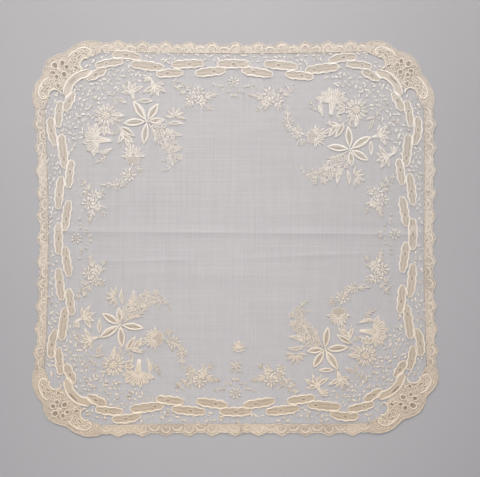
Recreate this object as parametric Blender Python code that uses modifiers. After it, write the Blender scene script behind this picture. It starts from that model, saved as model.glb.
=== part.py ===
"""Sheer linen handkerchief with a sewn-on lace edging, spread flat with its face side up.

Pieces: the linen ground, four lengths of scalloped edging and four shaped lace corners. Each is
drawn on a true square pattern, then moved to where the cloth really lies: its sides bow in a
little, its corners have slipped, and pressed folds cross it as low ridges.
Metres, +Z up. The origin is under the middle of the handkerchief, on the surface it lies on.
"""

import math

import bmesh
import bpy
import numpy as np

# Driving dimensions, in metres
SEAM_HALF = 0.1957      # middle of the square to the seam between ground and edging
PITCH = 0.0236          # one large scallop to the next
STRIP_HALF = 5.7 * PITCH  # half of one length of edging, which ends in a valley
EDGING_DEPTH = 0.0091   # seam to the valleys between scallops
POINT_RISE = 0.0026     # height of a large pointed scallop over the valleys
BUMP_RISE = 0.0010      # height of the low bump between two points
POINT_SHARE = 0.3       # part of the pitch that each flank of a point takes up
THICKNESS = 0.0010      # cloth and lace alike
GAP = 0.0003            # between neighbouring pieces, along every seam

# Steps along the outlines and of the cuts that let a flat sheet bend
STEPS_PER_SCALLOP = 10
SEAM_STEPS = 14
CROSS_CUTS = range(-6, 7)
CUT_SPACING = 0.0320
FIRST_CUT = -0.0090     # clear of the upright folds, so that no slivers arise
SNAP = 1e-5

# How the square lies: it is stretched a little along X and drawn in along Y
STRETCH_X = 1.012
STRETCH_Y = 0.988

# Outward shift of the seam on each side, in metres, going clockwise round the handkerchief
SIDE_SHIFTS = (
    # side, at its start, at its middle, at its end
    ("north", 0.0028, -0.0024, 0.0004),
    ("east", -0.0044, -0.0032, 0.0062),
    ("south", -0.0010, -0.0016, 0.0004),
    ("west", 0.0036, -0.0047, 0.0031),
)

# Slip of each lace corner from its place on the pattern, in metres
ROSETTE = 0.1750        # place of a corner's middle on the pattern, along X and along Y
SLIP_REACH = 0.030
CORNER_SLIPS = (
    # corner, sign of x, sign of y, slip along x, slip along y
    ("ne", 1, 1, -0.0012, 0.0020),
    ("se", 1, -1, -0.0032, 0.0052),
    ("sw", -1, -1, -0.0016, -0.0024),
    ("nw", -1, 1, -0.0024, -0.0014),
)

# Half of a lace corner's outline at the north-east, from the edging to the diagonal, in metres.
# The other half is its mirror image across the diagonal.
CORNER_OUTER = (
    # along x, along y
    (0.1413, 0.2060),
    (0.1496, 0.2057),
    (0.1557, 0.2034),
    (0.1621, 0.2000),
    (0.1695, 0.1936),
    (0.1737, 0.1927),
    (0.1807, 0.1898),
)
CORNER_INNER = (
    # along x, along y
    (0.1435, 0.1917),
    (0.1471, 0.1902),
    (0.1536, 0.1886),
    (0.1567, 0.1844),
    (0.1553, 0.1774),
    (0.1587, 0.1710),
    (0.1621, 0.1689),
)
OUTER_APEX = 0.1862
INNER_APEX = 0.1653

# Pressed folds, as low ridges that die away at both ends, in metres
FOLDS = (
    # name, start x, start y, end x, end y, height, half width
    ("main", -0.240, 0.0079, 0.240, 0.0038, 0.0012, 0.0070),
    ("lower_left", -0.146, -0.0246, -0.026, -0.0208, 0.0007, 0.0060),
    ("lower_right", 0.004, -0.0203, 0.152, -0.0148, 0.0007, 0.0060),
    ("upper_right", 0.108, 0.0184, 0.199, 0.0172, 0.0005, 0.0050),
    ("upright", 0.0062, 0.214, 0.0068, 0.032, 0.0005, 0.0060),
    ("upright_low", 0.0070, -0.060, 0.0060, -0.214, 0.0005, 0.0060),
)
FOLD_TAPER = 0.022      # length over which a fold rises from nothing at each end

# Finishes: colour, roughness
LINEN = (0.79, 0.77, 0.75, 1.0)
EDGING_LACE = (0.80, 0.72, 0.62, 1.0)
CORNER_LACE = (0.82, 0.75, 0.66, 1.0)
CLOTH_ROUGHNESS = 0.85


def turned(points, quarter):
    """Points turned clockwise about the origin by a number of quarter turns."""
    x, y = np.asarray(points, dtype=float).T
    for _ in range(quarter % 4):
        x, y = y, -x
    return np.column_stack((x, y))


def side_shift(along, start, middle, end):
    """Outward shift of a side: a parabola through its values at -1, 0 and 1 along the side."""
    ends = start * (1 - along) / 2 + end * (1 + along) / 2
    return middle * (1 - along**2) + ends * along**2


def laid(points):
    """Points of the true square pattern, moved to where the handkerchief really lies."""
    points = np.asarray(points, dtype=float)
    result = points * (STRETCH_X, STRETCH_Y)
    for quarter, (_, start, middle, end) in enumerate(SIDE_SHIFTS):
        along, outward = (turned(points, -quarter) / SEAM_HALF).T
        nearness = np.clip(outward, 0, None) ** 3
        push = side_shift(along, start, middle, end) * nearness
        result += turned(np.column_stack((np.zeros_like(push), push)), quarter)
    for _, sign_x, sign_y, slip_x, slip_y in CORNER_SLIPS:
        away = points - (sign_x * ROSETTE, sign_y * ROSETTE)
        weight = np.exp(-(away**2).sum(axis=1) / (2 * SLIP_REACH**2))
        result += weight[:, None] * (slip_x, slip_y)
    return result


def scallop_rise(along):
    """Height of the edging's outer edge over its valleys: a straight-sided point at every pitch,
    and half a sine wave between two points."""
    phase = np.abs((along / PITCH + 0.5) % 1.0 - 0.5)
    point = POINT_RISE * (1 - phase / POINT_SHARE)
    bump_phase = (phase - POINT_SHARE) / (1 - 2 * POINT_SHARE)
    bump = BUMP_RISE * np.sin(np.clip(bump_phase, 0, 1) * math.pi)
    return np.where(phase < POINT_SHARE, point, bump)


def edging_outline(quarter):
    """One length of edging: a straight seam edge and a scalloped outer edge."""
    unevenness = 1 + 0.14 * math.sin(2.3 * quarter + 0.7)
    steps = round(2 * STRIP_HALF / PITCH * STEPS_PER_SCALLOP)
    outer_x = np.linspace(-STRIP_HALF, STRIP_HALF, steps + 1)
    ripple = 0.0003 * np.sin(outer_x * 75 + quarter)
    outer_y = SEAM_HALF + EDGING_DEPTH + scallop_rise(outer_x) * unevenness + ripple
    seam_x = np.linspace(STRIP_HALF, -STRIP_HALF, SEAM_STEPS)
    seam_y = np.full(SEAM_STEPS, SEAM_HALF + GAP / 2)
    return np.vstack((np.column_stack((outer_x, outer_y)), np.column_stack((seam_x, seam_y))))


def mirrored(half, apex):
    """A half outline, its apex on the diagonal, and the half's mirror image across it."""
    half = np.array(half)
    return np.vstack((half, [(apex, apex)], half[::-1, ::-1]))


def corner_outline():
    """A lace corner: the outer edge clockwise, then the inner edge back to the start."""
    end_x = STRIP_HALF + GAP
    outer = ((end_x, SEAM_HALF + EDGING_DEPTH),) + CORNER_OUTER
    inner = ((end_x, SEAM_HALF + GAP / 2),) + CORNER_INNER
    return np.vstack((mirrored(outer, OUTER_APEX), mirrored(inner, INNER_APEX)[::-1]))


def ground_outline():
    """The linen ground: four straight seams, and the lace corners' inner edges, a gap inside."""
    corner = mirrored(CORNER_INNER, INNER_APEX) - GAP
    corner[:, 0] = np.minimum(corner[:, 0], SEAM_HALF - GAP / 2)
    seam_x = np.linspace(-STRIP_HALF, STRIP_HALF, SEAM_STEPS)
    seam = np.column_stack((seam_x, np.full(SEAM_STEPS, SEAM_HALF - GAP / 2)))
    quarter_outline = np.vstack((seam, corner))
    return np.vstack([turned(quarter_outline, quarter) for quarter in range(4)])


def fold_frame(fold):
    """Start, unit direction, unit sideways direction and length of a fold."""
    _, start_x, start_y, end_x, end_y, _, _ = fold
    start = np.array((start_x, start_y))
    span = np.array((end_x, end_y)) - start
    length = np.hypot(*span)
    direction = span / length
    return start, direction, np.array((-direction[1], direction[0])), length


def fold_height(points):
    """Height of the cloth: each fold's squared-cosine ridge, tapered by a sine at both ends."""
    height = np.zeros(len(points))
    for fold in FOLDS:
        start, direction, sideways, length = fold_frame(fold)
        rise, half_width = fold[5:]
        along = (points - start) @ direction
        across = np.clip(np.abs((points - start) @ sideways) / half_width, 0, 1)
        to_end = np.clip(np.minimum(along, length - along) / FOLD_TAPER, 0, 1)
        swell = 1 + 0.25 * np.sin(along * 55 + rise * 9000)
        height += rise * swell * np.sin(to_end * math.pi / 2) * np.cos(across * math.pi / 2) ** 2
    return height


def cut(bm, faces, point, normal):
    """Split the given faces along an upright plane."""
    edges = {edge for face in faces for edge in face.edges}
    verts = {vert for face in faces for vert in face.verts}
    bmesh.ops.bisect_plane(
        bm,
        geom=list(verts) + list(edges) + list(faces),
        dist=SNAP,
        plane_co=(point[0], point[1], 0),
        plane_no=(normal[0], normal[1], 0),
    )


def cut_for_folds(bm):
    """Cross cuts over the whole sheet, then five cuts along each fold that reaches it."""
    for step in CROSS_CUTS:
        cut(bm, bm.faces[:], (FIRST_CUT + step * CUT_SPACING, 0), (1, 0))
    for fold in FOLDS:
        start, direction, sideways, length = fold_frame(fold)
        half_width = fold[6]
        for share in (-1, -0.5, 0, 0.5, 1):
            near = []
            for face in bm.faces:
                along = (np.array(face.calc_center_median()[:2]) - start) @ direction
                if -FOLD_TAPER < along < length + FOLD_TAPER:
                    near.append(face)
            if near:
                cut(bm, near, start + sideways * half_width * share, sideways)


def material(name, colour):
    """A plain cloth finish."""
    finish = bpy.data.materials.new(name)
    finish.use_nodes = True
    shader = finish.node_tree.nodes["Principled BSDF"]
    shader.inputs["Base Color"].default_value = colour
    shader.inputs["Roughness"].default_value = CLOTH_ROUGHNESS
    shader.inputs["Metallic"].default_value = 0.0
    return finish


def filled_outline(name, outline):
    """A mesh of the flat area inside an outline, by way of a filled 2D curve."""
    curve = bpy.data.curves.new(name, "CURVE")
    curve.dimensions = "2D"
    curve.fill_mode = "BOTH"
    spline = curve.splines.new("POLY")
    spline.points.add(len(outline) - 1)
    for point, (x, y) in zip(spline.points, outline):
        point.co = (x, y, 0, 1)
    spline.use_cyclic_u = True
    guide = bpy.data.objects.new(name + "_outline", curve)
    bpy.context.scene.collection.objects.link(guide)
    bpy.context.view_layer.update()
    mesh = bpy.data.meshes.new_from_object(guide.evaluated_get(bpy.context.evaluated_depsgraph_get()))
    bpy.data.objects.remove(guide)
    return mesh


def sheet(name, pattern_outline, finish, collection):
    """One piece of the handkerchief: filled outline, cuts, fold heights, then thickness."""
    mesh = filled_outline(name, laid(pattern_outline))
    bm = bmesh.new()
    bm.from_mesh(mesh)
    bmesh.ops.remove_doubles(bm, verts=bm.verts[:], dist=SNAP)
    bmesh.ops.dissolve_faces(bm, faces=bm.faces[:])
    cut_for_folds(bm)
    heights = fold_height(np.array([vert.co[:2] for vert in bm.verts]))
    for vert, height in zip(bm.verts, heights):
        vert.co.z = height
    bmesh.ops.triangulate(bm, faces=bm.faces[:])
    bm.normal_update()
    if sum(face.normal.z for face in bm.faces) < 0:
        bmesh.ops.reverse_faces(bm, faces=bm.faces[:])
    bm.to_mesh(mesh)
    bm.free()
    mesh.materials.clear()
    mesh.materials.append(finish)
    piece = bpy.data.objects.new(name, mesh)
    collection.objects.link(piece)
    solidify = piece.modifiers.new("thickness", "SOLIDIFY")
    solidify.thickness = THICKNESS
    solidify.offset = 1.0
    return piece


def main():
    """Build every piece into a collection named for the handkerchief."""
    for old in list(bpy.data.objects):
        bpy.data.objects.remove(old)
    collection = bpy.data.collections.new("linen_handkerchief")
    bpy.context.scene.collection.children.link(collection)
    linen = material("linen", LINEN)
    edging = material("edging_lace", EDGING_LACE)
    corner = material("corner_lace", CORNER_LACE)

    sheet("linen_ground", ground_outline(), linen, collection)
    for quarter, (side, *_) in enumerate(SIDE_SHIFTS):
        outline = turned(edging_outline(quarter), quarter)
        sheet("lace_edging_" + side, outline, edging, collection)
    for quarter, (name, *_) in enumerate(CORNER_SLIPS):
        sheet("lace_corner_" + name, turned(corner_outline(), quarter), corner, collection)


main()
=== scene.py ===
"""Looks of a sheer linen handkerchief with a lace edge and white-thread embroidery.

Everything is drawn in millimetres on the true square that the cloth was worked to: x to
the right, y away from the maker, z up from the face of the cloth. `Laying` then carries
each point to where it lies on the table, in metres, so cloth, lace and stitches keep
together. A side or a corner is drawn once, at the north side or the north-west corner,
and turned by quarters to the other three.
"""

import logging
from collections.abc import Callable, Sequence
from dataclasses import dataclass, field
from enum import Enum

import bpy
import numpy as np
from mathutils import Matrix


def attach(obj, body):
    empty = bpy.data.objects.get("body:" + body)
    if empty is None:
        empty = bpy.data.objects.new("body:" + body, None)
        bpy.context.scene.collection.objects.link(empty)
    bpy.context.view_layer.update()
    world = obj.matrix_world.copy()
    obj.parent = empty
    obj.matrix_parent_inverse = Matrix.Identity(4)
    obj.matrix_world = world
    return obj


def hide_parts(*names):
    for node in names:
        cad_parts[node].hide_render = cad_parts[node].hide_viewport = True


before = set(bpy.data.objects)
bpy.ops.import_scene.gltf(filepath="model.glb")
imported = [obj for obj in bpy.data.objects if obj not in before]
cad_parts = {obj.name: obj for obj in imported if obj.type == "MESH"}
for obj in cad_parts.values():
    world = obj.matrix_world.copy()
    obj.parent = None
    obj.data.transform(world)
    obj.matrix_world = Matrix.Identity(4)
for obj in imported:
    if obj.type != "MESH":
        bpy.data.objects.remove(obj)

Array = np.ndarray
Point = tuple[float, float]
log = logging.getLogger("handkerchief")

MM = 0.001
LAMP_COLOUR = (1.0, 0.992, 0.985)
BODY = "root"

SEAM_HALF = 195.7
PITCH = 23.6
STRIP_HALF = 5.7 * PITCH
EDGING_DEPTH = 7.9
POINT_RISE = 4.2
BUMP_RISE = 0.9
POINT_SHARE = 0.36
ROSETTE = 175.0


class Quarter(Enum):
    """The four sides, each a clockwise quarter turn from the one before."""

    NORTH = 0
    EAST = 1
    SOUTH = 2
    WEST = 3


class Corner(Enum):
    """The four corners, each a clockwise quarter turn from the one before."""

    NW = 0
    NE = 1
    SE = 2
    SW = 3


class Slot(Enum):
    """The record's finishes."""

    LINEN = "linen"
    EDGING = "edging_lace"
    CORNER = "corner_lace"
    THREAD = "embroidery_thread"


class Tone:
    """How deep or bright a stitch lies, from open shadow to raised satin. The four lowest tones are
    painted shade: dark colour standing in for the shade down in open holes, ladder slots, eyelets
    and eyelet middles.
    """

    # painted shade, darkest first: open holes, ladder slots, eyelet depths, eyelet middles
    HOLE_SHADE = 0.0
    LADDER_SHADE = 0.08
    EYELET_SHADE = 0.12
    SLOT_SHADE = 0.18
    NET = 0.45
    DENSE_NET = 0.50
    FILL = 0.68
    KNOTTED = 0.74
    STITCH = 0.86
    DAISY = 0.90
    PETAL = 0.93
    SEED = 0.94
    RIM = 0.97
    SATIN = 1.0


# ---------------------------------------------------------------- laying on the table


def turned(points: Array, quarter: int) -> Array:
    """Turns flat points clockwise by quarters: each quarter takes (x, y) to (y, -x).

    Args:
        points: n by 2 array.
        quarter: number of quarter turns, any sign.

    Returns:
        n by 2 array.
    """
    x, y = np.asarray(points, float).T
    for _ in range(quarter % 4):
        x, y = y, -x
    return np.column_stack((x, y))


@dataclass(frozen=True)
class Crease:
    """A pressed fold line: its two ends, its height and half its width, and how high its
    crisp middle stands over that, in mm."""

    start: Point
    end: Point
    height: float
    half_width: float
    crisp: float

    def rise(self, points: Array) -> Array:
        """Height of the fold over flat points.

        Across the line it is a squared cosine, with a narrow crisp ridge on top; along the
        line it tapers as a sine over the last 22 mm and swells a little on the way.

        Args:
            points: n by 2 array in laid mm.

        Returns:
            n heights in mm.
        """
        start, end = np.array(self.start), np.array(self.end)
        length = np.hypot(*(end - start))
        way = (end - start) / length
        along = (points - start) @ way
        across = (points - start) @ np.array((-way[1], way[0]))
        ends = np.clip(np.minimum(along, length - along) / 22.0, 0, 1)
        swell = 1 + 0.25 * np.sin(0.055 * along + 9 * self.height)
        broad = np.cos(np.pi / 2 * np.clip(across / self.half_width, -1, 1)) ** 2
        narrow = np.exp(-((across / 0.9) ** 2))
        return np.sin(np.pi / 2 * ends) * swell * (self.height * broad + self.crisp * narrow)


@dataclass(frozen=True)
class Swell:
    """A soft hollow or rise: centre, reach along x and y, and height, in mm."""

    centre: Point
    reach: Point
    height: float

    def rise(self, points: Array) -> Array:
        """Height of the bell exp(-(dx/reach)^2 - (dy/reach)^2) over flat points."""
        away = (points - np.array(self.centre)) / np.array(self.reach)
        return self.height * np.exp(-(away**2).sum(1))


@dataclass(frozen=True)
class Laying:
    """How the square cloth lies: stretched, its sides bowed, its corners slipped, creased."""

    stretch: Point = (1.012, 0.988)
    side_shifts: tuple[tuple[float, float, float], ...] = (
        (2.8, -2.4, 0.4),
        (-4.4, -3.2, 6.2),
        (-1.0, -1.6, 0.4),
        (3.6, -4.7, 3.1),
    )
    slip_reach: float = 30.0
    corner_slips: tuple[tuple[int, int, float, float], ...] = (
        (1, 1, -1.2, 2.0),
        (1, -1, -3.2, 5.2),
        (-1, -1, -1.6, -2.4),
        (-1, 1, -2.4, -1.4),
    )
    drift_reach: float = 40.0
    corner_drifts: tuple[Point, ...] = ((0.8, 4.7), (-2.0, -1.3), (0.1, -2.6), (1.0, -0.7))
    side_drifts: tuple[Point, ...] = ((-2.4, 0.5), (-5.2, -0.3), (0.0, -1.5), (-0.3, 0.9))
    creases: tuple[Crease, ...] = (
        Crease((-197, 7.5), (199, 4.1), 0.62, 7.5, 0.34),
        Crease((-146, -24.6), (-42, -21.4), 0.28, 6.0, 0.20),
        Crease((0, -20.5), (152, -14.8), 0.28, 6.0, 0.16),
        Crease((108, 18.4), (199, 17.2), 0.3, 5.0, 0.10),
        Crease((6.2, 214), (6.8, 32), 0.5, 6.0, 0.10),
        Crease((7.0, -60), (6.0, -214), 0.5, 6.0, 0.10),
    )
    swells: tuple[Swell, ...] = (
        Swell((8, -54), (58, 9), -0.5),
        Swell((-20, -38), (70, 8), 0.5),
        Swell((60, 30), (60, 16), 0.5),
        Swell((-70, 50), (50, 26), 0.6),
        Swell((70, -70), (46, 30), 0.5),
        Swell((-60, -90), (60, 20), 0.4),
        Swell((0, 110), (80, 24), 0.5),
    )
    rest: float = 0.30

    def flat(self, points: Array) -> Array:
        """Where flat pattern points lie on the table, seen from above.

        The cloth is stretched by its two factors. Then each side is pushed outwards by
        middle (1 - a^2) + (start (1 - a) + end (1 + a)) a^2 / 2, a being the share along the
        side, and the push fades inwards as the cube of the share outwards. Last, each
        corner slips by a bell-shaped amount around its rosette.

        Args:
            points: n by 2 array in pattern mm.

        Returns:
            n by 2 array in laid mm.
        """
        result = points * self.stretch
        for quarter, (start, middle, end) in enumerate(self.side_shifts):
            along, outward = (turned(points, -quarter) / SEAM_HALF).T
            ends = (start * (1 - along) + end * (1 + along)) / 2
            push = middle * (1 - along**2) + ends * along**2
            push = push * np.clip(outward, 0, None) ** 3
            result = result + turned(np.column_stack((0 * push, push)), quarter)
        for sign_x, sign_y, slip_x, slip_y in self.corner_slips:
            away = points - np.array((sign_x, sign_y)) * ROSETTE
            share = np.exp(-(away**2).sum(1) / (2 * self.slip_reach**2))
            result = result + share[:, None] * (slip_x, slip_y)
        return result

    def drift(self, points: Array) -> Array:
        """How far the hand-drawn design strays from the true square.

        Each spray and each side's middle has its own small slip; a point takes their mean,
        weighted by bells around them, and none far from all of them.

        Args:
            points: n by 2 array in pattern mm.

        Returns:
            n by 2 array of slips in mm.
        """
        total = np.zeros_like(points)
        weight = np.full(len(points), 0.12)
        marks = ((-91.0, 130.0), self.corner_drifts), ((0.0, 164.0), self.side_drifts)
        for mark, slips in marks:
            for quarter, slip in enumerate(slips):
                away = points - turned(np.array([mark]), quarter)
                share = np.exp(-(away**2).sum(1) / (2 * self.drift_reach**2))
                total += share[:, None] * turned(np.array([slip]), quarter)
                weight += share
        return total / weight[:, None]

    def rise(self, laid: Array) -> Array:
        """Height of the cloth's lower face over laid points: rest, creases, swells, ripple.

        Args:
            laid: n by 2 array in laid mm.

        Returns:
            n heights in mm.
        """
        height = np.full(len(laid), self.rest)
        for shape in (*self.creases, *self.swells):
            height = height + shape.rise(laid)
        x, y = laid.T
        height += 0.10 * np.sin(0.045 * x + 1.3 * np.sin(0.021 * y)) * np.sin(0.06 * y + 0.7)
        height += 0.06 * np.sin(0.11 * x - 0.05 * y + 0.4) * np.sin(0.09 * y + 0.03 * x)
        return np.maximum(height, 0.12)

    def place(self, points: Array, strays: bool = False) -> Array:
        """Carries pattern points to the table.

        Args:
            points: n by 3 array, pattern mm, z above the cloth's lower face.
            strays: True for embroidery, which takes the design's own drift.

        Returns:
            n by 3 array in metres.
        """
        spot = points[:, :2]
        if strays:
            spot = spot + self.drift(spot)
        laid = self.flat(spot)
        return np.column_stack((laid, self.rise(laid) + points[:, 2])) * MM


LAYING = Laying()


# ---------------------------------------------------------------- stitched surfaces


@dataclass
class Work:
    """Stitched surface in mm: points, four- and three-sided faces, thread run and tone."""

    points: Array
    quads: Array
    tris: Array
    run: Array
    tone: Array

    @staticmethod
    def joined(parts: Sequence["Work"]) -> "Work":
        """Lays several works side by side in one, without joining their points."""
        counts = np.cumsum([0] + [len(part.points) for part in parts])
        return Work(
            np.vstack([part.points for part in parts]),
            np.vstack([part.quads + start for part, start in zip(parts, counts)]),
            np.vstack([part.tris + start for part, start in zip(parts, counts)]),
            np.vstack([part.run for part in parts]),
            np.concatenate([part.tone for part in parts]),
        )

    def placed(self, spots: Sequence[Sequence[float]]) -> "Work":
        """Copies the work to many spots at once.

        A point p goes to (x, y) + scale * R(turn) * (p.x, flip * p.y), and its height is
        scaled too.

        Args:
            spots: rows of x, y, turn in degrees, scale and flip (1 or -1). A row may stop
                after y, turn or scale; the rest is then 0, 1 and 1.

        Returns:
            One work with a copy for each row.
        """
        plain = (0.0, 0.0, 0.0, 1.0, 1.0)
        rows = np.array([(*spot, *plain[len(spot):]) for spot in spots], float).reshape(-1, 5)
        x, y, turn, scale, flip = rows.T[:, :, None]
        turn = np.radians(turn)
        local_x, local_y, local_z = self.points.T[:, None, :]
        local_y = local_y * flip
        cosine, sine = np.cos(turn) * scale, np.sin(turn) * scale
        moved = np.stack(
            (
                x + cosine * local_x - sine * local_y,
                y + sine * local_x + cosine * local_y,
                local_z * scale + 0 * x,
            ),
            axis=2,
        ).reshape(-1, 3)
        quads, tris = (self._copied(faces, flip[:, 0]) for faces in (self.quads, self.tris))
        return Work(
            moved, quads, tris, np.tile(self.run, (len(rows), 1)), np.tile(self.tone, len(rows))
        )

    def _copied(self, faces: Array, flip: Array) -> Array:
        """Faces of each copy, wound the other way where the copy is mirrored."""
        count = len(flip)
        each = np.where((flip < 0)[:, None, None], faces[None, :, ::-1], faces[None])
        starts = np.arange(count)[:, None, None] * len(self.points)
        return (each + starts).reshape(-1, faces.shape[1])

    def raised(self, height: float) -> "Work":
        """The same work lifted by a height in mm."""
        lifted = self.points + (0, 0, height)
        return Work(lifted, self.quads, self.tris, self.run, self.tone)

    def quartered(self, quarter: int) -> "Work":
        """The same work turned clockwise by quarters."""
        flat = turned(self.points[:, :2], quarter)
        points = np.column_stack((flat, self.points[:, 2]))
        return Work(points, self.quads, self.tris, self.run, self.tone)

    def mirrored(self) -> "Work":
        """The work mirrored left to right."""
        return self.placed([(0, 0, 180, 1, -1)])


def spline(points: Sequence[Point], count: int) -> Array:
    """A smooth path through points: cubic pieces whose slope at each point follows its
    neighbours, then spaced evenly along their length.

    Args:
        points: the points the path goes through, in mm.
        count: how many points the path gets.

    Returns:
        count by 2 array.
    """
    dark_dots = np.asarray(points, float)
    slope = np.gradient(dark_dots, axis=0)
    where = np.linspace(0, len(dark_dots) - 1, 12 * len(dark_dots))
    index = np.minimum(where.astype(int), len(dark_dots) - 2)
    t = (where - index)[:, None]
    dense = (
        (2 * t**3 - 3 * t**2 + 1) * dark_dots[index]
        + (t**3 - 2 * t**2 + t) * slope[index]
        + (3 * t**2 - 2 * t**3) * dark_dots[index + 1]
        + (t**3 - t**2) * slope[index + 1]
    )
    travelled = np.concatenate(([0], np.cumsum(np.hypot(*np.diff(dense, axis=0).T))))
    steps = np.linspace(0, travelled[-1], count)
    return np.column_stack([np.interp(steps, travelled, dense[:, axis]) for axis in (0, 1)])


def left_of(path: Array, closed: bool = False) -> Array:
    """The unit way to the left of a path at each of its points.

    Args:
        path: n by 2 array.
        closed: True for a ring.

    Returns:
        n by 2 array: the direction between the neighbours, turned a quarter to the left.
    """
    if closed:
        way = np.roll(path, -1, 0) - np.roll(path, 1, 0)
    else:
        way = np.gradient(path, axis=0)
    way = way / np.maximum(np.hypot(*way.T), 1e-9)[:, None]
    return np.column_stack((-way[:, 1], way[:, 0]))


def grid_cells(rows: int, columns: int) -> Array:
    """The four corners of each cell of a grid of points, row by row, counter-clockwise."""
    index = np.arange(rows * columns).reshape(rows, columns)
    cells = np.stack((index[:-1, :-1], index[:-1, 1:], index[1:, 1:], index[1:, :-1]), 2)
    return cells.reshape(-1, 4)


def rounded_ends(share: Array, roundness: float = 0.18, least: float = 0.25) -> Array:
    """Width along a cord: full in the middle, and a quarter circle to `least` at the ends."""
    near = np.clip(1 - np.minimum(share, 1 - share) / roundness, 0, 1)
    return least + (1 - least) * np.sqrt(1 - near**2)


def leaf_width(share: Array, belly: float = 0.45) -> Array:
    """Half-width of a leaf along its length: sin(pi * share^k), fullest at `belly`."""
    power = np.log(0.5) / np.log(belly)
    return np.maximum(np.sin(np.pi * np.clip(share, 0, 1) ** power), 0.04) ** 0.9


def ridge(
    path: Array,
    half_width: float | Array,
    height: float,
    tone: float | Array = Tone.SATIN,
    closed: bool = False,
    sides: int = 4,
    groove: float = 0.0,
) -> Work:
    """A raised satin ridge: a half-round profile carried along a path.

    Across the path at share u from -1 to 1 it stands height * sqrt(1 - u^2), less a middle
    groove of groove * exp(-(u / 0.3)^2), and its under side is flat, so the skin is closed.

    Args:
        path: n by 2 centre line in mm.
        half_width: one number, or one for each path point.
        height: crown height in mm.
        tone: one number, or one for each point across.
        closed: True for a ring.
        sides: points across the profile.
        groove: depth of the middle groove as a share of the height.

    Returns:
        The ridge.
    """
    count = len(path)
    left = left_of(path, closed)
    half = np.broadcast_to(half_width, (count,)).astype(float)
    share = -np.cos(np.linspace(0, np.pi, sides))
    crown = np.sqrt(np.clip(1 - share**2, 0, 1)) * (1 - groove * np.exp(-((share / 0.3) ** 2)))
    full = np.clip(half / max(half.max(), 1e-9), 0, 1) ** 0.5
    flat = path[:, None, :] + left[:, None, :] * (half[:, None] * share)[:, :, None]
    tall = height * full[:, None] * crown
    points = np.concatenate((flat, tall[:, :, None]), axis=2).reshape(-1, 3)
    travelled = np.concatenate(([0], np.cumsum(np.hypot(*np.diff(path, axis=0).T))))
    run = np.stack(np.broadcast_arrays(travelled[:, None], half[:, None] * share), 2)
    run = run.reshape(-1, 2)
    tones = np.broadcast_to(tone, (count, sides)).reshape(-1)
    rows = np.arange(count if closed else count - 1)[:, None]
    across = np.arange(sides)[None]
    here, there = rows * sides, (rows + 1) % count * sides
    beside = (across + 1) % sides
    quads = np.stack((here + across, there + across, there + beside, here + beside), 2)
    quads = quads.reshape(-1, 4)
    if closed:
        return Work(points, quads, np.empty((0, 3), int), run, tones)
    poles = np.column_stack((path[[0, -1]], (0, 0)))
    ring = np.arange(sides)
    following = (ring + 1) % sides
    first, last = count * sides, count * sides + 1
    end = (count - 1) * sides
    tris = np.vstack(
        (
            np.column_stack((np.full(sides, first), ring, following)),
            np.column_stack((np.full(sides, last), end + following, end + ring)),
        )
    )
    return Work(
        np.vstack((points, poles)),
        quads,
        tris,
        np.vstack((run, ((0, 0), (travelled[-1], 0)))),
        np.concatenate((tones, tones[[0, -1]])),
    )


def plate(
    outline: Callable[[Array], Array],
    eyelet: Callable[[Array], Array],
    steps: int,
    height: float,
    tone: float,
) -> Work:
    """A thin closed plate with a hole: at each angle it runs from the hole's rim out to the
    outline, up over a low crown and back underneath.

    Args:
        outline: gives outline points for angles.
        eyelet: gives rim points for angles.
        steps: how many angles.
        height: crown height in mm.
        tone: tone of the filling.

    Returns:
        The plate.
    """
    angles = np.linspace(0, 2 * np.pi, steps, endpoint=False)
    inner, outer = eyelet(angles), outline(angles)
    shares = np.array((0.0, 0.0, 0.08, 0.5, 0.95, 1.0, 1.0))
    heights = height * np.array((0.1, 0.9, 1.0, 1.0, 1.0, 0.9, 0.1))
    count = len(shares)
    flat = inner[:, None] + (outer - inner)[:, None] * shares[None, :, None]
    points = np.concatenate((flat, np.broadcast_to(heights[:, None], (steps, count, 1))), 2)
    rows, across = np.arange(steps)[:, None], np.arange(count)[None]
    here, there = rows * count, (rows + 1) % steps * count
    beside = (across + 1) % count
    quads = np.stack((here + across, here + beside, there + beside, there + across), 2)
    quads = quads.reshape(-1, 4)
    points = points.reshape(-1, 3)
    tones = np.full(len(points), tone)
    return Work(points, quads, np.empty((0, 3), int), points[:, :2], tones)


def ellipse(centre: Point, radii: Point, turn: float, count: int) -> Array:
    """Points round an ellipse, counter-clockwise: centre + R(turn) (a cos t, b sin t)."""
    angle = np.linspace(0, 2 * np.pi, count, endpoint=False)
    x, y = radii[0] * np.cos(angle), radii[1] * np.sin(angle)
    cosine, sine = np.cos(np.radians(turn)), np.sin(np.radians(turn))
    return np.column_stack((centre[0] + cosine * x - sine * y, centre[1] + sine * x + cosine * y))


# ---------------------------------------------------------------- the stitcher's motifs


def straight(length: float, count: int = 5, sag: float = 0.0) -> Array:
    """A path along x, bowed to the left by sag * 4 s (1 - s)."""
    share = np.linspace(0, 1, count)
    return np.column_stack((share * length, 4 * sag * share * (1 - share)))


def seed(length: float = 2.0, width: float = 1.1, sag: float = 0.0) -> Work:
    """A single padded seed stitch lying along x, centred on its spot."""
    path = straight(length, 5, sag) - (length / 2, 0)
    share = np.linspace(0, 1, 5)
    return ridge(path, width / 2 * rounded_ends(share, 0.5, 0.3), 0.36, Tone.SEED)


def satin_leaf(length: float, width: float, sag: float = 0.0, belly: float = 0.45) -> Work:
    """A leaf in satin stitch with a groove down its midrib."""
    share = np.linspace(0, 1, 8)
    half = width / 2 * leaf_width(share, belly)
    tones = np.array((Tone.STITCH, Tone.SATIN, Tone.NET, Tone.SATIN, Tone.STITCH))
    return ridge(straight(length, 8, sag), half, 0.6, tones, sides=5, groove=0.55)


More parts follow.
